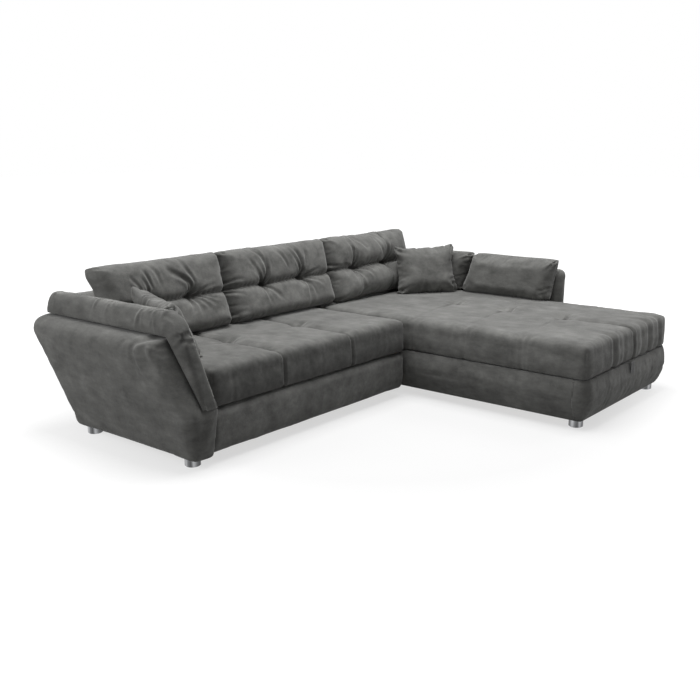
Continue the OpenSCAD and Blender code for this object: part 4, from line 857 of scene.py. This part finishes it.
def back_cushion(name, x0, x1, limit, tufts, lines, seed):
    """Two lobes over a sewn line with two tufts at tufts, and the folds drawn in lines."""
    half = ((x1 - x0) / 2, CUSHION_HALF_H)
    mid = (x0 + x1) / 2
    line_y = tufts[0][1]
    marks = ([a for a, b in tufts], [line_y])
    form = Form(half, (84, 72), 92, power=2.3, cell=9.0, steps=11, ear=(10, 9), corner=12,
                marks=marks)

    def front(x, y):
        z = 97 - 16 * bump(y - line_y, 20)
        for a, b in tufts:
            z = z - 40 * bump(np.hypot(x - a, y - b), 42)
        return z

    def put(x, y, z):
        up = y + half[1]
        z = np.where(z > 0, z * (1 + 0.22 * bump(up, 60)), z)
        high = np.maximum(ON_SEAT, SEAT_H + SOFT_GAP - CUSHION_SINK + up * LEAN_C + z * LEAN_S)
        deep = 652 + up * LEAN_S - z * LEAN_C
        left = np.maximum(0, -x) / half[0]
        wide = mid + x + (limit(high) - x0) * left ** 2
        return np.stack([wide, np.minimum(deep, back_front(high) - 0.5), high], axis=1)

    obj = form.build(front, even(70.0), put, name, "sofa")
    x, y = form.px, form.py
    hold = np.where(form.is_rear, 1.0, 0.0)
    hold = pin(hold, (np.abs(y - line_y) < 6) & ~form.is_rear, 0.8)
    for a, b in tufts:
        hold = pin(hold, np.hypot(x - a, y - b) < 13, 1.0)
    settle(obj, hold, 24, -0.05)
    front_side = ~form.is_rear
    detail = wrinkles(get_points(obj), 0.11, 1.4, seed) * front_side
    # The bottom lobe slumps over the seat, and the seams are drawn in hard
    detail += front_side * (4 * bump(y + 105, 60) - 3 * bump(y - 150, 50))
    detail += front_side * pucker(x, y - line_y + 3 * np.sin(x / 63.0 + seed), 15, 6, 27, seed)
    for a, b in tufts:
        detail += front_side * (-17 * bump(np.hypot(x - a, (y - b) * 1.3), 13))
    every = lines + corner_folds(half, 22, (-46, -15, 16, 44), (32, 66), (3.0, 5.0), seed)
    every += edge_folds(half, 4, (24, 46), (2.5, 4.0), seed + 7)
    detail += front_side * folds(x, y, every)
    push(obj, detail)
    q = landmark(obj)
    q[:, 2] = np.maximum(q[:, 2], ON_SEAT + 0.1)
    q[:, 1] = np.minimum(q[:, 1], back_front(q[:, 2]) - 0.5)
    q[:, 0] = np.minimum(np.maximum(q[:, 0], limit(q[:, 2]) + 0.2), x1 - 0.2)
    set_points(obj, place(q))
    soften(obj)


back_cushion("back_cushion_left", -CUSHION_OVER, JOIN_A - SOFT_GAP, cushion_limit,
             [(-142, -14), (128, -14)], [
    (12, 13, (126, -8), (132, 36), (55, 96), (-16, 172)), (9, 8, (118, -4), (104, 54), (64, 92)),
    (9, 9, (138, -4), (150, 50), (120, 110), (90, 172)),
    (10, 9, (-60, 80), (-76, 134), (-116, 180)),
    (9, 8, (-112, 60), (-127, 112), (-150, 164)), (9, 8, (-180, 50), (-205, 90), (-232, 130)),
    (9, 7, (-150, -4), (-190, 40), (-250, 70)), (8, 6, (-140, 0), (-140, 60), (-170, 120)),
    (12, 8, (126, -24), (118, -66), (92, -118)), (10, 7, (140, -22), (158, -64), (156, -116)),
    (9, 8, (176, -20), (236, -54), (268, -84)), (8, 7, (205, -16), (270, -44), (316, -52)),
    (8, 6, (150, -18), (200, -70), (230, -110)), (9, 6, (160, -8), (240, 20), (310, 26)),
    (10, 6, (-142, -24), (-170, -80), (-160, -130))], 21)
back_cushion("back_cushion_middle", JOIN_A, JOIN_B - SOFT_GAP, lambda z: JOIN_A,
             [(-150, -13), (146, -13)], [
    (12, 14, (-148, -8), (-134, 72), (-158, 134), (-226, 190)),
    (9, 11, (-160, -6), (-208, 68), (-262, 142)), (9, 9, (-170, -2), (-206, 40), (-246, 88)),
    (9, 10, (-138, -4), (-122, 66), (-132, 138), (-150, 176)),
    (9, 8, (30, 58), (-2, 122), (-64, 178)), (12, 13, (144, -4), (148, 58), (116, 136), (64, 180)),
    (9, 10, (138, 0), (118, 60), (80, 132), (28, 172)),
    (10, 11, (152, -4), (180, 66), (188, 134), (168, 172)),
    (9, 9, (162, -6), (230, 10), (300, 22)), (9, 9, (166, -20), (238, -38), (308, -76)),
    (12, 12, (150, -20), (176, -74), (168, -130), (180, -186)),
    (9, 7, (160, -24), (206, -90), (216, -150)), (11, 9, (-142, -22), (-98, -70), (-52, -120)),
    (9, 6, (-152, -24), (-160, -80), (-140, -140)), (8, 7, (-404, -30), (-360, -42), (-318, -60)),
    (8, 6, (-404, 20), (-350, 30), (-300, 20)),
    (8, 7, (-400, -150), (-350, -142), (-300, -150))], 22)
back_cushion("back_cushion_right", JOIN_B, CUSHION_END, lambda z: JOIN_B,
             [(-176, -6), (128, -6)], [
    (12, 13, (-190, 0), (-196, 70), (-218, 132), (-236, 172)),
    (9, 11, (-178, 2), (-172, 66), (-198, 122)), (9, 8, (-84, 106), (-120, 152), (-160, 182)),
    (11, 11, (116, 0), (138, 74), (118, 136)), (9, 10, (142, 0), (172, 66), (168, 120)),
    (9, 8, (72, 62), (48, 116), (30, 162)), (12, 12, (-168, -10), (-98, -44), (-38, -104)),
    (9, 8, (-176, -16), (-140, -90), (-120, -140)), (10, 7, (66, -84), (50, -144)),
    (8, 7, (-388, 34), (-350, 20), (-306, 12)), (9, 8, (-196, -8), (-260, 10), (-330, 6)),
    (9, 7, (120, -16), (150, -80), (140, -130))], 23)

# ---------------------------------------------------------------- loose cushions


def throw_pillow(name, at, yaw, lean, roll_angle, body, seed):
    """Slack square pillow with pinched ears, standing on its lower edge."""
    half = (201.0, 159.0)
    form = Form(half, (120, 100), 58, power=1.75, cell=8.0, steps=13, ear=(22, 17), corner=0)
    (cy, sy), (cl, sl), (cr, sr) = cos_sin(yaw), cos_sin(lean), cos_sin(roll_angle)
    across = np.array([cy, sy, 0])
    front_way = np.array([sy * cl, -cy * cl, sl])
    up_way = np.array([-sy * sl, cy * sl, cl])

    def put(x, y, z):
        a = x * cr - y * sr
        b = x * sr + y * cr + half[1]
        q = np.array(at) + np.outer(a, across) + np.outer(b, up_way) + np.outer(z, front_way)
        q[:, 2] = np.maximum(q[:, 2], ON_SEAT)
        return q

    obj = form.build(even(58.0), even(47.0), put, name, body)
    x, y = form.px, form.py
    rest = landmark(obj)[:, 2] < SEAT_H + 2
    hold = np.where(rest, 1.0, np.where(form.is_rear, 0.5, 0.0))
    settle(obj, pin(hold, form.rim >= form.steps, 0.6), 9, -0.03)
    flat = np.where(form.is_rear, 0.5, 1.0)
    detail = wrinkles(get_points(obj), 0.13, 2.4, seed) * flat
    lines = corner_folds(half, 8, (-34, -12, 11, 33), (60, 120), (7.0, 11.0), seed, (8.0, 11.0))
    lines += edge_folds(half, 6, (30, 75), (5.0, 8.5), seed + 3, width=(7.0, 10.0))
    detail += flat * folds(x, y, lines)
    push(obj, detail)
    clip(obj, low=(None, None, ON_SEAT + 0.1))
    soften(obj)


throw_pillow("left_throw_pillow", (152, 362, 409), 74, 27, 5, "left_pillow", 31)
throw_pillow("right_throw_pillow", (2179, 395, 409), -38, 14, 2, "right_pillow", 32)


def side_cushion(name, y0, y1, near_slant, far_slant, seed):
    """Cushion that lies flat against the side rest."""
    half = ((y1 - y0) / 2, 132.0)
    form = Form(half, (78, 66), 72, power=2.4, cell=8.5, steps=10, ear=(8, 7), corner=10)
    x_flat = REST_X0 - SOFT_GAP

    def put(x, y, z):
        high = np.maximum(ON_SEAT, SEAT_H - 12 + y + half[1])
        out = x_flat - 34 - z + (high - SEAT_H) * 0.08
        far = (half[0] - x) / 2 / half[0]
        run = (y0 + y1) / 2 - x - (high - SEAT_H) * (far_slant * far + near_slant * (1 - far))
        return np.stack([np.minimum(out, x_flat - 0.2), run, high], axis=1)

    obj = form.build(even(72.0), even(57.0), put, name, "chaise_lid")
    x, y = form.px, form.py
    rest = landmark(obj)[:, 2] < SEAT_H + 2
    settle(obj, np.where(rest | form.is_rear, 1.0, 0.0), 12, -0.03)
    flat = np.where(form.is_rear, 0.0, 1.0)
    detail = wrinkles(get_points(obj), 0.13, 1.4, seed) * flat
    lines = corner_folds(half, 14, (-40, -13, 13, 40), (40, 90), (5.0, 8.0), seed)
    lines += edge_folds(half, 4, (24, 70), (4.0, 6.5), seed + 3)
    detail += flat * folds(x, y, lines)
    detail += flat * -3.5 * crease(form.rim - form.steps * 0.97, 0.6)
    push(obj, detail)
    q = landmark(obj)
    q[:, 0] = np.minimum(q[:, 0], x_flat - 0.2)
    q[:, 2] = np.maximum(q[:, 2], ON_SEAT + 0.1)
    set_points(obj, place(q))
    soften(obj)


side_cushion("bolster", -335, 279, 0.16, 0.32, 41)
side_cushion("corner_cushion", 283, 542, 0.32, 0, 42)

# ---------------------------------------------------------------- base panels


def drawer_pad():
    half = (687.0, 104.2)
    mid_z = (FOOT_H + SEAM_H - 1) / 2
    form = Form(half, (26, 40), 44, power=3.0, cell=11.0, steps=8, ear=(0, 0), corner=6)

    def put(x, y, z):
        below = np.maximum(0, -y) / half[1]
        deep = np.minimum(9 - z + 16 * below ** 2, 27.7)
        return np.stack([690 + x, deep, mid_z + y], axis=1)

    obj = form.build(even(22.0), even(30.0), put, "drawer_front_pad", "bed_drawer")
    x, y = form.px, form.py
    settle(obj, np.where(form.is_rear, 1.0, 0.0), 5, -0.01)
    face = np.where(form.is_rear, 0.0, 1.0)
    detail = wrinkles(get_points(obj) * np.array([0.5, 1, 1]), 0.10, 1.1, 51) * face
    detail += face * -1.6 * bump(y - 4 - 3 * np.sin(x / 210.0), 5) * (0.5 + 0.5 * np.sin(x / 97.0))
    push(obj, detail)
    clip(obj, low=(3, None, FOOT_H + 1.8), high=(1377, 27.7, SEAM_H - 2.4))
    soften(obj)


drawer_pad()

FRONT_LOW, FRONT_HIGH = FOOT_H, SEAM_H - 2.0


def panel_out(z):
    t = (z - FRONT_LOW) / (FRONT_HIGH - FRONT_LOW)
    upper = 16 - 13 * (np.clip(t - 0.6, 0, None) / 0.4) ** 3
    lower = 16 - 43 * (np.clip(0.6 - t, 0, None) / 0.6) ** 2
    return np.where(t > 0.6, upper, lower)


def panel(name, path, outward, inner, seed):
    """Padded skin over a board. path runs along the board's outer face, outward is the way out
    at each point of it, and inner is the closed way back behind the face."""
    path, outward, inner = (np.array(way, float) for way in (path, outward, inner))
    rise = 0.5 - 0.5 * np.cos(np.linspace(0, math.pi, 26))
    zs = FRONT_LOW + (FRONT_HIGH - FRONT_LOW) * rise
    rows, columns = len(zs), len(path)
    skin = [np.column_stack([path + outward * panel_out(z), np.full(columns, z)]) for z in zs]
    board = [np.column_stack([inner, np.full(len(inner), z)]) for z in (zs[0], zs[-1])]
    points = np.concatenate(skin + board)
    faces = grid_faces(rows, columns)
    skin_faces, base = len(faces), rows * columns
    low, high = list(range(base, base + len(inner))), list(range(base + len(inner), len(points)))
    top = (rows - 1) * columns
    at = [int(round(k * (columns - 1) / (len(inner) - 1))) for k in range(len(inner))]
    for k in range(len(inner) - 1):
        faces.append(tuple(range(at[k + 1], at[k] - 1, -1)) + (low[k], low[k + 1]))
        faces.append(tuple(range(top + at[k], top + at[k + 1] + 1)) + (high[k + 1], high[k]))
        faces.append((low[k], high[k], high[k + 1], low[k + 1]))
    faces.append((low[0], 0) + tuple(r * columns for r in range(1, rows)) + (high[0],))
    faces.append((high[-1],) + tuple(r * columns + columns - 1 for r in range(rows - 1, -1, -1))
                 + (low[-1],))
    obj = make_piece(name, place(points), faces, FABRIC, "sofa", name)
    for poly in list(obj.data.polygons)[skin_faces:]:
        poly.use_smooth = False
    run = run_along(path)
    along = np.tile(run, rows)
    height = np.repeat((zs - FRONT_LOW) / (FRONT_HIGH - FRONT_LOW), columns)
    upright = np.sin(math.pi * height) ** 0.5
    swell = np.clip(np.minimum(along, run[-1] - along) / 90, 0, 1) * upright
    hold = np.ones(len(points))
    hold[:base] = 1 - 0.95 * swell
    inflate(obj, hold, 4, -0.01)
    detail = np.zeros(len(points))
    face = points[:base] * MM
    level = height - 0.50 - 0.03 * np.sin(along / 160.0 + seed)
    detail[:base] = (upright * wrinkles(face * np.array([1, 1, 1.6]), 0.14, 1.6, 61)
                     - swell * 5.0 * bump(level, 0.045) * (0.55 + 0.45 * np.sin(along / 130.0)))
    push(obj, detail)
    clip(obj, low=(None, None, FRONT_LOW), high=(None, None, SEAM_H - 0.6))


def chaise_panels():
    r, inset, side_end = 55.0, 30, -386
    corner_y = CHAISE_Y0 + r
    board_x0, board_x1, board_y0 = CHAISE_X0 + inset, CHAISE_X1 - inset, CHAISE_Y0 + inset
    turns = [math.radians(a) for a in range(180, 271, 9)]
    left = [(CHAISE_X0 + r + r * math.cos(a), corner_y + r * math.sin(a)) for a in turns]
    right = [(CHAISE_X1 - r - r * math.cos(a), corner_y + r * math.sin(a)) for a in turns[::-1]]
    middle = [(x, CHAISE_Y0) for x in np.linspace(CHAISE_X0 + r, CHAISE_X1 - r, 76)[1:-1]]
    # The front panel laps the side panels by 6 mm
    lap = corner_y + 6.0
    path = [(CHAISE_X0, lap)] + left + middle + right + [(CHAISE_X1, lap)]
    outs = ([(-1, 0)] + [(math.cos(a), math.sin(a)) for a in turns] + [(0, -1)] * len(middle)
            + [(-math.cos(a), math.sin(a)) for a in turns[::-1]] + [(1, 0)])
    inner = [(board_x0, corner_y), (board_x0, board_y0), (board_x1, board_y0),
             (board_x1, corner_y)]
    panel("chaise_front_panel", path, outs, inner, 61)
    start = corner_y + 0.2
    ys = np.linspace(60, start, 84)
    panel("chaise_left_panel", [(CHAISE_X0, y) for y in ys], [(-1, 0)] * len(ys),
          [(board_x0, 60), (board_x0, start)], 62)
    ys = np.linspace(start, side_end, 56)
    panel("chaise_right_panel", [(CHAISE_X1, y) for y in ys], [(1, 0)] * len(ys),
          [(board_x1, start), (board_x1, side_end)], 63)


chaise_panels()


def flat_pad(name, x, y, z, roll, body, seed, material=FABRIC,
             channel=0.0):
    """Pad between the given limits, with a rolled edge. channel is the depth of a dip along it."""
    half, mid = span(x, y, z)
    form = Form(half, (roll, roll), half[2], power=2.8, cell=14.0, steps=6, ear=(2, 2), corner=8)

    def put(a, b, c):
        return np.stack([mid[0] + a, mid[1] + b, z[0] + half[2] + c], axis=1)

    obj = form.build(lambda a, b: half[2] - channel * bump(b, 22), even(half[2]), put, name, body,
                     material)
    push(obj, wrinkles(get_points(obj), 0.10, 0.7, seed) * np.where(form.is_rear, 0, 1))
    clip(obj, *zip(x, y, z))
    soften(obj)


flat_pad("ledge_pad", (1413.2, 2452.8), (611.2, 697.8), (SEAT_H - 24.7, SEAT_H - 0.4), 12,
         "sofa", 71)
flat_pad("drawer_mattress", (44.5, 1335.5), (49.5, 666.5), (FOOT_H + 24.4, FOOT_H + 161.6), 50,
         "bed_drawer", 72, TICKING, 12.0)

# ---------------------------------------------------------------- arm, backs and side rest


def copy_node(name, voxel):
    """Points and faces of a CAD node, remeshed evenly."""
    mesh = NODES[name].data.copy()
    temp = bpy.data.objects.new("temp", mesh)
    bpy.context.collection.objects.link(temp)
    mod = temp.modifiers.new("even", "REMESH")
    mod.mode = "VOXEL"
    mod.voxel_size = voxel * MM
    out = temp.evaluated_get(bpy.context.evaluated_depsgraph_get()).to_mesh()
    points = np.array([v.co[:] for v in out.vertices])
    faces = [tuple(p.vertices) for p in out.polygons]
    bpy.data.objects.remove(temp)
    bpy.data.meshes.remove(mesh)
    return points, faces


def upholstered(name, voxel, hold, cap, detail, material=FABRIC):
    """Padded shell of a CAD node: hold and detail are functions of its points in millimetres."""
    points, faces = copy_node(name, voxel)
    obj = make_piece(name, points, faces, material, "sofa", name)
    relax(obj)
    held = hold(landmark(obj))
    settle(obj, held, cap, -0.01)
    push(obj, detail(landmark(obj)) * (1 - held))
    soften(obj)


ARM_FRONT_Y = ARM_FRONT_LEAN - ARM_BULGE
ARM_SLOPE = math.atan2(ARM_H - ARM_R - ARM_BEND_Z, ARM_FRONT_Y + ARM_BULGE - ARM_R * 0.4)


def arm_hold(q):
    inner = q[:, 0] > arm_inner(q[:, 2]) - 14
    return np.where(inner | (q[:, 2] < FOOT_H + 3), 1.0, 0.0)


def arm_detail(q):
    total = wrinkles(q * MM, 0.20, 1.0, 81)
    y, z = q[:, 1], q[:, 2]
    outer = np.where(q[:, 0] < arm_inner(z) - 55, 1.0, 0.0)
    # The sewn line that curves round the front shoulder, with a soft hollow inside it
    lines = [(11, 12, (92, 556), (176, 560), (246, 520), (226, 446)),
             (34, 11, (176, 505), (160, 470), (112, 400)),
             (10, 7, (110, 527), (140, 545), (171, 552)),
             (10, 6, (96, 500), (120, 516), (146, 520)),
             (10, 4, (226, 446), (200, 400), (150, 350)),
             (13, 3, (300, 540), (340, 500), (350, 440))]
    total += outer * folds(y, z, lines)
    # A slack ridge along the front edge, outside the pad
    ahead, above = y + ARM_BULGE, z - ARM_BEND_Z
    along = ahead * math.cos(ARM_SLOPE) + above * math.sin(ARM_SLOPE)
    off = ahead * math.sin(ARM_SLOPE) - above * math.cos(ARM_SLOPE)
    front = bump(off - 30 - 3 * np.sin(along / 60), 10) * ((along > -20) & (along < 330))
    return total - outer * 4.0 * front


# The arm's cover has slight painted shade on its faces that look to the front
upholstered("arm_shell", 11, arm_hold, 8, arm_detail, FABRIC_ARM_FRONT_SHADED)


PIPING_R, PIPING_LIFT = 3.2, 1.2


def arm_pad():
    """Roll-shaped pad over the arm's top and down its front edge."""
    low = np.array([ARM_R - ARM_BULGE, ARM_BEND_Z])
    high = low + (ARM_H - ARM_R - ARM_BEND_Z) * np.array([1 / math.tan(ARM_SLOPE), 1.0])
    out_way = np.array([-math.sin(ARM_SLOPE), math.cos(ARM_SLOPE)])
    shoulder = np.array([-(1 - math.cos(ARM_SLOPE)) / math.sin(ARM_SLOPE), 1.0])
    turn = high + (ARM_R - ARM_EDGE_R) * shoulder
    slope_l = (turn[1] - low[1] - 18) / math.sin(ARM_SLOPE)
    spots = []
    run = PAD_REAR_Y - turn[0]
    for s in np.concatenate([[0, 3, 8, 15, 24, 32], np.arange(40, run - 4, 8)]):
        share = np.interp(s, [0, 3, 10, 20, 34, 120], [0.30, 0.5, 0.72, 0.86, 0.95, 1.0])
        spots.append((PAD_REAR_Y - s, ARM_H, 0.0, 1.0, share))
    for k in np.linspace(0, 3, 8):
        a = math.radians(90) + k * ARM_SLOPE / 3
        at = turn + ARM_EDGE_R * np.array([math.cos(a), math.sin(a)])
        spots.append((at[0], at[1], math.cos(a), math.sin(a), 1 - 0.05 * k))
    down = np.array([math.cos(ARM_SLOPE), math.sin(ARM_SLOPE)])
    for t in np.linspace(0.02, 1, 44):
        at = turn + ARM_EDGE_R * out_way - t * slope_l * down
        spots.append((at[0], at[1], out_way[0], out_way[1], 0.83 * (1 - t) ** 0.72 + 0.02))
    around = 30
    angles = np.linspace(math.pi, 0, around)
    across = np.sign(np.cos(angles)) * np.abs(np.cos(angles)) ** 0.62
    rise = np.sin(angles) ** 0.72
    # The outer side is drawn in where it meets the shell
    tuck = 8.0 * bump(rise * (PAD_H - 4), 16.0) * (angles > 1.57)
    rows = []
    for y, z, oy, oz, share in spots:
        width = PAD_W * (0.86 + 0.14 * share)
        x_in = arm_inner(z) - 2
        height = 0.5 + (PAD_H - 4) * share * rise
        ring = np.stack([x_in - width / 2 + across * width / 2 + tuck * share,
                         y + oy * height, z + oz * height], axis=1)
        rows.append(np.concatenate([ring, np.linspace(ring[-1], ring[0], 9)[1:-1]]))
    n = len(rows[0])
    points = np.concatenate(rows)
    # The pad has painted shade on its faces that look to the front
    obj = make_piece("arm_pad", place(points), ring_faces(len(rows), n), FABRIC_FRONT_SHADED, "sofa",
                     "arm_pad")
    lengths = run_along(np.array(spots)[:, :2])
    ring_at = np.tile(np.arange(n), len(rows))
    along = np.repeat(lengths, n)
    shares = np.repeat([spot[4] for spot in spots], n)
    below = ring_at >= around
    inflate(obj, np.where(below | (ring_at == 0) | (ring_at == around - 1), 1.0, 0.0), 5, -0.01)
    # Folds across the pad, each group (centre, spread, count, depth): many at the turn, fewer
    # along the top
    turn_at = PAD_REAR_Y - turn[0]
    side = 120.0 * (1 - 2 * ring_at / (around - 1.0))
    top = np.where(below, 0.0, np.sin(math.pi * np.clip(ring_at / (around - 1.0), 0, 1)))
    rng = np.random.default_rng(91)
    lines = []
    for centre, spread, count, depth in ((turn_at - 8, 70, 18, 6.0), (turn_at + 80, 60, 6, 4.5),
                                         (turn_at * 0.84, 70, 7, 7.5),
                                         (turn_at * 0.55, 120, 8, 5.5), (60, 40, 4, 5.0)):
        for _ in range(count):
            at = centre + rng.normal() * spread * 0.5
            root, tip = sorted(rng.uniform(-110, 110, 2))
            tip = max(tip, root + 70)
            lean = rng.uniform(-34, 34)
            bow = rng.uniform(-14, 14)
            ends = [(at, root), (at + lean / 2 + bow, (root + tip) / 2), (at + lean, tip)]
            lines.append((rng.uniform(7, 11), depth * rng.uniform(0.5, 1.0),
                          *(ends if rng.random() < 0.5 else ends[::-1])))
    detail = wrinkles(points * MM, 0.10, 1.0, 92) * top
    detail += folds(along, side, lines) * top ** 0.5 * np.clip(shares * 1.2, 0, 1)
    push(obj, detail)
    soften(obj)
    # Two rows of piping along the crest and down the inner edge of the front, in a lighter fabric
    # that paints a highlight along them
    skin = get_points(obj) + normals(obj) * PIPING_LIFT * MM
    smooth = np.ones(9) / 9
    for name, high_at, low_at in (("arm_pad_piping", 12, 5), ("arm_pad_piping_inner", 15, 9)):
        route = []
        for r in range(2, len(rows) - 5):
            at = around - 1 - np.interp(lengths[r], [turn_at - 30, turn_at + 60], [high_at, low_at])
            low_ring, part = int(at), at - int(at)
            route.append((1 - part) * skin[r * n + low_ring] + part * skin[r * n + low_ring + 1])
        route = np.array(route)
        padded = np.concatenate([route[:1].repeat(4, 0), route, route[-1:].repeat(4, 0)])
        route = np.stack([np.convolve(padded[:, k], smooth, "valid") for k in range(3)], axis=1)
        tube(name, route, PIPING_R * MM, PIPING_HIGHLIGHT, "sofa")


def tube(name, route, radius, material, body):
    """Thin round piece along a route of points in metres."""
    sides = 8
    tangent = np.gradient(route, axis=0)
    tangent /= np.linalg.norm(tangent, axis=1, keepdims=True)
    side = np.cross(tangent, np.array([0.0, 0.0, 1.0]))
    small = np.linalg.norm(side, axis=1) < 0.05
    side[small] = np.cross(tangent[small], np.array([1.0, 0.0, 0.0]))
    side /= np.linalg.norm(side, axis=1, keepdims=True)
    up = np.cross(side, tangent)
    a = np.linspace(0, 2 * math.pi, sides, endpoint=False)
    rings = (route[:, None, :] + radius * (np.cos(a)[None, :, None] * side[:, None, :]
                                            + np.sin(a)[None, :, None] * up[:, None, :]))
    make_piece(name, rings.reshape(-1, 3), ring_faces(len(route), sides), material, body, None)


arm_pad()


def back_hold(q):
    inside = q[:, 1] < back_front(q[:, 2]) + 6
    return np.where((inside & (q[:, 2] < BACK_H - 22)) | (q[:, 2] < FOOT_H + 3), 1.0, 0.0)


def back_detail(q):
    total = wrinkles(q * MM, 0.22, 1.0, 95)
    rear = BACK_Y1 + BACK_LEAN * (q[:, 2] - FOOT_H) / (BACK_H - BACK_R - FOOT_H)
    return total - 3.0 * crease(q[:, 2] - 560, 6) * bump(q[:, 1] - rear, 30)


upholstered("main_back", 14, back_hold, 6, back_detail)
upholstered("chaise_back", 14, back_hold, 6, back_detail)


def rest_hold(q):
    flat = (q[:, 0] < REST_X0 + 3) | (q[:, 2] < FOOT_H + 3)
    return np.where(flat, 1.0, 0.0)


def rest_detail(q):
    return wrinkles(q * MM, 0.18, 1.0, 97) - 2.6 * crease(q[:, 2] - 533, 6) * (q[:, 0] > 2530)


upholstered("side_rest", 12, rest_hold, 6, rest_detail)

# ---------------------------------------------------------------- pull tab


def pull_tab():
    """Loop of webbing, sewn in under the mattress, with a rounded end and stitched edges."""
    mid_x, z0, z1, y = 1935.0, 188.7, 250.6, -1058.2
    cols, rows = 12, 22
    points = []
    for shift, raised in ((-1.0, 1), (0.9, 0)):
        for j in range(rows + 1):
            t = j / rows
            half = 23.0 - 5.0 * max(0.0, 1 - t / 0.18) ** 2 - 2.5 * bump(t - 0.78, 0.1)
            for i in range(cols + 1):
                s = 2 * i / cols - 1
                rib = 0.25 * math.cos(i * math.pi) * (1 - abs(s))
                out = raised * (0.9 * math.sin(math.pi * t) + rib)
                points.append((mid_x + half * s, y + shift - out, z0 + (z1 - z0) * t))
    stride = cols + 1
    off = (rows + 1) * stride
    faces = []
    for a, b, c, d in grid_faces(rows + 1, stride):
        faces += [(a, b, c, d), (a + off, d + off, c + off, b + off)]
    edge = [(i, i + 1) for i in range(cols)]
    edge += [(j * stride + cols, (j + 1) * stride + cols) for j in range(rows)]
    edge += [(rows * stride + i + 1, rows * stride + i) for i in range(cols)]
    edge += [((j + 1) * stride, j * stride) for j in range(rows)]
    faces += [(b, a, a + off, b + off) for a, b in edge]
    make_piece("pull_tab", place(points), faces, WEBBING, "chaise_lid", "pull_tab")


pull_tab()

import json
